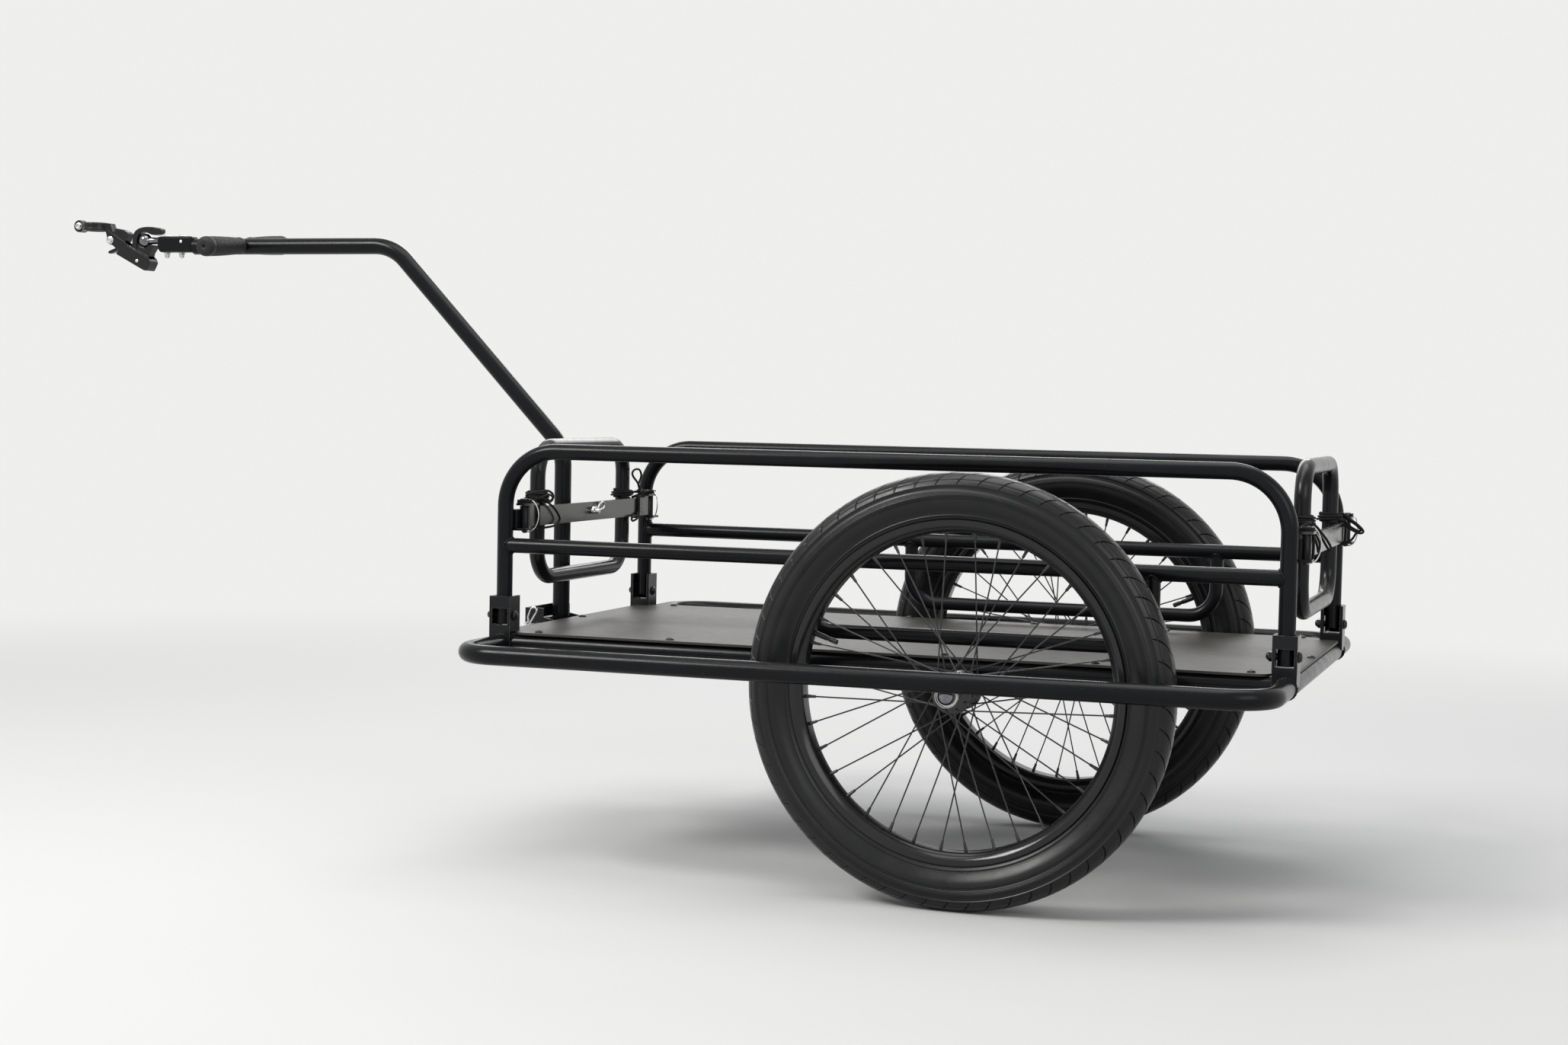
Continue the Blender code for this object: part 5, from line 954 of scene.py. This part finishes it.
def cap_bolt(centre, grip, washer):
    """A bolt across the coupling: washer and socket head on the left, washer and nut on the right."""
    solids = [bar(centre - Vector((0, grip, 0)), centre + Vector((0, grip, 0)), 0.0029)]
    for side in (1, -1):
        place = centre + Vector((0, side * (grip + GAP), 0))
        ring = ((washer, 0.0), (washer, 0.0008), (washer - 0.0007, 0.0011))
        solids.append(turned(ring, place, (0, side, 0), 36))
        if side > 0:
            socket_head = mm(((4.4, 0.8), (4.4, 3), (3.8, 3.4), (2.4, 3.4), (2.2, 2), (0.3, 1.8)))
            solids.append(turned(socket_head, place, (0, side, 0), 36))
        else:
            solids.append(hexagon(place, (0, side, 0), 0.008, 0.0008, 0.0034, 0.4))
    return solids


for end, body, centre, grip, washer in (
        ("rear", "hitch", REAR_BOLT, CHEEK_OUT, 0.0058), ("front", "clamp", FRONT_BOLT, CLAW_HALF, 0.0052)):
    piece(f"cross_bolt_{end}", body, STEEL, cap_bolt(centre, grip, washer), f"clamp_bolt_{end}", 0.0002, 40)


# Pins with their spring clips

def headed_pin(centre, axis, tail, head):
    """A pin from its rounded tail to its round head."""
    profile = [
        (0.0002, tail), (PIN_R * 0.4, tail), (PIN_R * 0.85, tail + 0.0005), (PIN_R, tail + 0.0015),
        (PIN_R, head)]
    for radius, height in mm(((6.5, 0), (6.5, 2), (6.2, 3), (5, 3.8), (0.2, 4))):
        profile.append((radius, head + height))
    return turned(profile, centre, axis)


def spring_clip(centre, along, across):
    """A wire clip: one straight leg, a round loop and a leg that waves over the pin."""
    wire = (
        (-9, 0), (-2, 0), (6, 0), (13.2, 0), *round_run((24, 4.5), 4.5, -100, 200, 10),
        (12.48, 6.76), (7.68, 3.224), (4.08, 4.16), (0, 5.2), (-4.08, 4.16), (-7.68, 6.24))
    along = Vector(along).normalized()
    across = Vector(across).normalized()
    return sweep(smooth_path([Vector(centre) + along * a + across * b for a, b in mm(wire)], 5), 0.0013, 12)


bar_tail = BAR_FRONT_X - BAR_HALF
piece("foot_cross_pin", "drawbar_foot_pin", STEEL, [
    headed_pin((FOOT_PIN_X, 0, FOOT_PIN_Z), (0, -1, 0), -FOOT_TAIL, FOOT_HALF + GAP)], "foot_pin")
piece("bar_cross_pin", "drawbar_pin", STEEL, [
    headed_pin((0, 0, BAR_PIN_Z), (1, 0, 0), bar_tail - 0.011, DRAWBAR_X + DRAWBAR_R + 0.001)],
    "gate_bar_pin")
piece("foot_wire_clip", "drawbar_foot_clip", STEEL, [
    spring_clip((FOOT_PIN_X, FOOT_TAIL - 0.018, FOOT_PIN_Z), (-0.54, 0, 0.842), (0.842, 0, 0.54))],
    "foot_pin_clip")
piece("bar_wire_clip", "drawbar_pin_clip", STEEL, [
    spring_clip((bar_tail - 0.005, 0, BAR_PIN_Z), (0, -1, 0.12), (0, 0.12, 1))], "gate_bar_pin_clip")

# Gate pins with wire bails, and the cords that keep them
CORD_R = 0.0015
CORD_STEP = 2.15 * CORD_R
TOUCH = CORD_R + 0.0002


def cord_map(item):
    """Lengthwise and round coordinates for a cord's weave."""
    mesh = item.data
    layer = mesh.uv_layers.new(name="weave")
    for polygon in mesh.polygons:
        turns = [vertex % CORD_SIDES for vertex in polygon.vertices]
        wraps = max(turns) - min(turns) > CORD_SIDES / 2
        for loop, vertex, turn in zip(polygon.loop_indices, polygon.vertices, turns):
            around = turn + CORD_SIDES if wraps and turn < CORD_SIDES / 2 else turn
            layer.data[loop].uv = (around / CORD_SIDES, (vertex // CORD_SIDES) * 0.22)


def around_leg(gate_x, start_z, turns, seed):
    """Turns of cord round a gate leg, laid up and then back down over themselves."""
    source = random.Random(seed)
    points = []
    for first, last, reach, slack, foot, rise in (
            (-4, turns * 16, GATE_R + TOUCH, 0.0003, 0.0, 1),
            (1, (turns - 1) * 16, GATE_R + TOUCH + CORD_R * 1.55, 0.0006, turns - 0.5, -1)):
        for step in range(first, last + 1):
            angle = 2 * math.pi * step / 16
            radius = reach + slack * source.random()
            points.append(Vector((
                gate_x + radius * math.cos(angle), GATE_Y + radius * math.sin(angle),
                start_z + CORD_STEP * (foot + rise * step / 16))))
    return points


def around_bar(bar_x, y):
    """Two turns of cord round the flat bar."""
    half = BAR_HALF + TOUCH
    low = BAR_LOW - TOUCH
    high = BAR_HIGH + TOUCH
    corners = (
        (half, high - 0.002), (half, low + 0.002), (half - 0.002, low), (-half + 0.002, low),
        (-half, low + 0.002), (-half, high - 0.002), (-half + 0.002, high), (half - 0.002, high))
    return [(bar_x + x, y + CORD_STEP * (turn + share / 8), z)
            for turn in range(2) for share, (x, z) in enumerate(corners)]


# Each cord: how far above the bar its turns start, their count, where it goes round the bar, and its free
# loops in millimetres forward, outward and up from where the leg passes the bar's top edge
CORDS = {
    "front left": (0.0045, 4, 0.17, (
        ((-10, 22, 9), (-19, 21, 9), (-21, 9, 3), (-21, -7, -4), (-21, -20, -13), (-21, -24, -19),
         (-21, -15, -25), (-21, -3, -27), (-19, 10, -28), (-13, 16, -29)),
        ((-4, 40, 11), (-10, 52, 15), (-14, 38, 18), (-15, 20, 19), (-14, 0, 19), (-13, -17, 15),
         (-12, -22, 9), (-12, -12, 5), (-10, 4, 5)),
        ((-12, 34, 7), (-17, 24, 11), (-17, 6, 14), (-15, -12, 12), (-14, -16, 7), (-15, -4, 4),
         (-12, 10, 4)))),
    "front right": (0.003, 3, 0.1515, (
        ((-10, 6, 8), (-17, 12, 10), (-18, 18, 14), (-18, 12, 22), (-18, -4, 31), (-18, -7, 37),
         (-18, 3, 41), (-18, 18, 40), (-18, 25, 32), (-18, 19, 24), (-18, 15, 19), (-16, 24, 12),
         (-12, 30, 7)),
        ((-18, 13, -20), (-21, 6, -24), (-22, -10, -25), (-22, -17, -28), (-22, -12, -31), (-22, 0, -29),
         (-19, 14, -27)))),
    "rear left": (0.008, 4, 0.172, (
        ((-4, 12, 10), (-10, 12, 12), (-17, 11, 9), (-24, 11, 1), (-31, 11, -8), (-35.5, 11, -16.5),
         (-34.5, 13, -19), (-31, 14, -15), (-25, 14, -5), (-19, 14, 3), (-12, 14, 8), (-2, 14, 7)),
        ((2, 13, 8), (-6, 17, 9), (-12, 18, 6), (-19, 18, -2), (-23, 18, -11), (-23.5, 18, -19),
         (-22, 20, -20.5), (-20.5, 21, -13), (-17, 21, -4), (-11, 21, 2), (-4, 20, 4)))),
    "rear right": (0.003, 3, 0.1515, (
        ((-2, 12, 6), (-8, 8, 11), (-16, 7, 11), (-23, 7, 6), (-31, 7, 1), (-39, 7, -6),
         (-41.5, 7, -10.5), (-37, 7, -12.5), (-28, 7, -9), (-18, 7, -3), (-8, 10, 3)),
        ((-2, 15, 3), (-8, 11.5, 9), (-16, 10.5, 8), (-23, 10.5, 3.5), (-31, 10.5, -1.5), (-37, 10.5, -7),
         (-38, 10.5, -9), (-35, 10.5, -9.8), (-27, 10.5, -6), (-18, 10.5, 0), (-8, 12.5, 1)),
        ((-34, 10.5, -10), (-31, 9, -15), (-28, 8, -20), (-23, 7, -24), (-17, 6, -26),
         (-13, 8, -27.5)))),
}
# The wire bail runs from the pin's head down to its foot, in millimetres from the middle of the head's seat
BAIL = (
    (4, 0, 3.6), (-6, -1.5, 4.2), (-12.5, -4.5, -0.6), (-16, -7, -11.3), (-15.6, -7, -22.3),
    (-11.8, -5, -32.3), (-6, -2, -36.5), (0, 0, -37.1))


def main_cord(end, hand, gate_x, bar_x):
    """From the turns on the gate leg to the pin's head, once and more round it, and back to the bar."""
    lift, turns, tie_y, _ = CORDS[f"{end} {hand}"]
    top = BAR_HIGH + lift
    head_z = PIN_TOP + 0.0022
    points = around_leg(gate_x, top, turns, end + hand)
    points.extend((
        (gate_x - 0.006, GATE_Y + 0.018, top + 0.005), (bar_x - 0.001, GATE_Y + 0.034, top + 0.0055),
        (bar_x + 0.005, POST_Y - 0.013, head_z + 0.0035)))
    for step in range(19):
        angle = math.radians(-35 + 36 * step)
        reach = 0.0065 + CORD_R + 0.0003 + 0.0002 * step / 19
        points.append((
            bar_x + reach * math.cos(angle), POST_Y + reach * math.sin(angle),
            head_z + 0.0031 * (step / 19 - 0.5)))
    points.extend((
        (bar_x - 0.0045, POST_Y - 0.015, head_z + 0.001),
        (bar_x + 0.001, GATE_Y + 0.03, BAR_HIGH + 0.0046),
        (bar_x + 0.003, tie_y + 0.002, BAR_HIGH + 0.002)))
    return points


pin = [
    (0.0002, POST_LOW - 0.0068), (PIN_R * 0.55, POST_LOW - 0.0066), (PIN_R, POST_LOW - 0.0046),
    (PIN_R, PIN_TOP)]
for radius, height in mm(((6, 0), (6.5, 0.5), (6.5, 4.2), (5.8, 5.4), (4, 6), (0.2, 6))):
    pin.append((radius, PIN_TOP + height))
for end, gate_x, bar_x, gate_body in GATES:
    for hand, side in SIDES:
        _, _, tie_y, loops = CORDS[f"{end} {hand}"]
        routes = [main_cord(end, hand, gate_x, bar_x), around_bar(bar_x, tie_y)]
        routes.extend(from_place((gate_x, GATE_Y, BAR_HIGH), loop) for loop in loops)
        cords = [sweep(smooth_path(route, 4), CORD_R, CORD_SIDES) for route in routes]
        bail = smooth_path(from_place((bar_x, POST_Y, PIN_TOP), BAIL), 6)
        body = f"{end}_gate_{hand}_pin"
        piece(f"{end}_gate_post_pin_{hand}", body, GATE_PIN, [
            turned(pin, (bar_x, POST_Y, 0), (0, 0, 1))], f"{end}_gate_pin_{hand}", side=side)
        piece(f"{end}_gate_pin_bail_{hand}", body, STEEL, [sweep(bail, 0.0008, 12)], side=side)
        cord_map(piece(
            f"{end}_gate_cord_{hand}", gate_body, CORD, cords, f"lanyard_{end}_{hand}", sharp=80,
            side=side))

# Materials of the solids that stay, with their edges eased
stays = [("drawbar_foot_bracket", PLATE_PAINT, 0.0005)]
for end in ("front", "rear"):
    stays.append((f"{end}_gate_bar", FLAT_PAINT_PAINTED_REFLECTION, 0.0008))
    stays.extend((f"hinge_bracket_{end}_{hand}", PLATE_PAINT, 0.0005) for hand, _ in SIDES)
for name, material, width in stays:
    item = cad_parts[name]
    for material_slot in item.material_slots:
        material_slot.material = material
    eased(item, width, 50)

# Floor that fades into a pale backdrop, lights and camera
BACKDROP = (0.86, 0.86, 0.85, 1)


def show_backdrop(tree, output, lit, kind, fade=None):
    """What the camera, a reflection or glass sees turns into the pale backdrop; the light stays as it is."""
    path = node(tree, "LightPath", {})
    share = path.outputs["Is Camera Ray"]
    for ray in ("Is Glossy Ray", "Is Transmission Ray"):
        share = combined("ADD", share, path.outputs[ray])
        share.node.use_clamp = True
    if fade:
        share = combined("MULTIPLY", fade, share)
    pale = node(tree, kind, {"Color": BACKDROP})
    both = node(tree, "MixShader", {0: share, 1: lit.outputs[0], 2: pale.outputs[0]})
    fill(tree.nodes[output], {"Surface": both.outputs[0]})


floor_mesh = bpy.data.meshes.new("floor")
floor_mesh.from_pydata([(-40, -40, 0), (40, -40, 0), (40, 40, 0), (-40, 40, 0)], [], [(0, 1, 2, 3)])
floor = placed("floor", floor_mesh)
floor_material, floor_shader, floor_place = look("floor_look")
fill(floor_shader, {"Base Color": (0.6, 0.6, 0.59, 1), "Roughness": 0.9, "Specular IOR Level": 0.1})
away = ramp(combined("LENGTH", floor_place, kind="VectorMath"), 1.2, 3.6, 0.0, 1.0)
away.node.interpolation_type = "SMOOTHSTEP"
show_backdrop(floor_material.node_tree, "Material Output", floor_shader, "Emission", away)
floor_mesh.materials.append(floor_material)

world = bpy.data.worlds.new("studio")
bpy.context.scene.world = world
world.use_nodes = True
light = world.node_tree.nodes["Background"]
fill(light, {"Color": (0.8, 0.82, 0.85, 1), "Strength": 0.55})
show_backdrop(world.node_tree, "World Output", light, "Background")


def lamp(name, place, target, size, power, colour=(1, 1, 1)):
    """A soft rectangular lamp that looks at a point."""
    data = bpy.data.lights.new(name, "AREA")
    data.shape = "RECTANGLE"
    data.size, data.size_y = size
    data.energy = power
    data.color = colour
    item = placed(name, data)
    item.location = place
    item.rotation_mode = "QUATERNION"
    item.rotation_quaternion = (Vector(target) - Vector(place)).to_track_quat("-Z", "Y")


lamp("key", (2.2, 2.8, 3.4), (-0.1, 0, 0.3), (1.6, 1.4), 150, (1.0, 0.985, 0.96))
lamp("top", (-0.3, 0.2, 3.0), (0, 0, 0.3), (3.4, 1.4), 48)
lamp("fill", (-2.8, 2.2, 1.8), (-0.2, 0, 0.4), (1.8, 1.6), 22)
lamp("back", (0.6, -3.0, 2.0), (0, 0, 0.4), (3.0, 1.0), 36)

# Camera at the photograph's angle
YAW = 0.339
PITCH = 0.0512
ROLL = -0.0196
FOCAL_PIXELS = 3116.66
IMAGE_WIDTH = 2058
SENSOR = 36
forward = Vector((math.sin(YAW) * math.cos(PITCH), -math.cos(YAW) * math.cos(PITCH), -math.sin(PITCH)))
right = forward.cross(Vector((0, 0, 1))).normalized()
down = forward.cross(right)
tilted_right = right * math.cos(ROLL) + down * math.sin(ROLL)
tilted_down = down * math.cos(ROLL) - right * math.sin(ROLL)
camera_data = bpy.data.cameras.new("camera")
camera_data.sensor_width = SENSOR
camera_data.lens = FOCAL_PIXELS / IMAGE_WIDTH * SENSOR
camera = placed("camera", camera_data)
camera.rotation_mode = "QUATERNION"
camera.rotation_quaternion = Matrix((tilted_right, -tilted_down, -forward)).transposed().to_quaternion()
camera.location = (-0.7169 + AXLE_X, 2.9463, 0.5877)
bpy.context.scene.camera = camera
bpy.context.scene.view_settings.view_transform = "Standard"
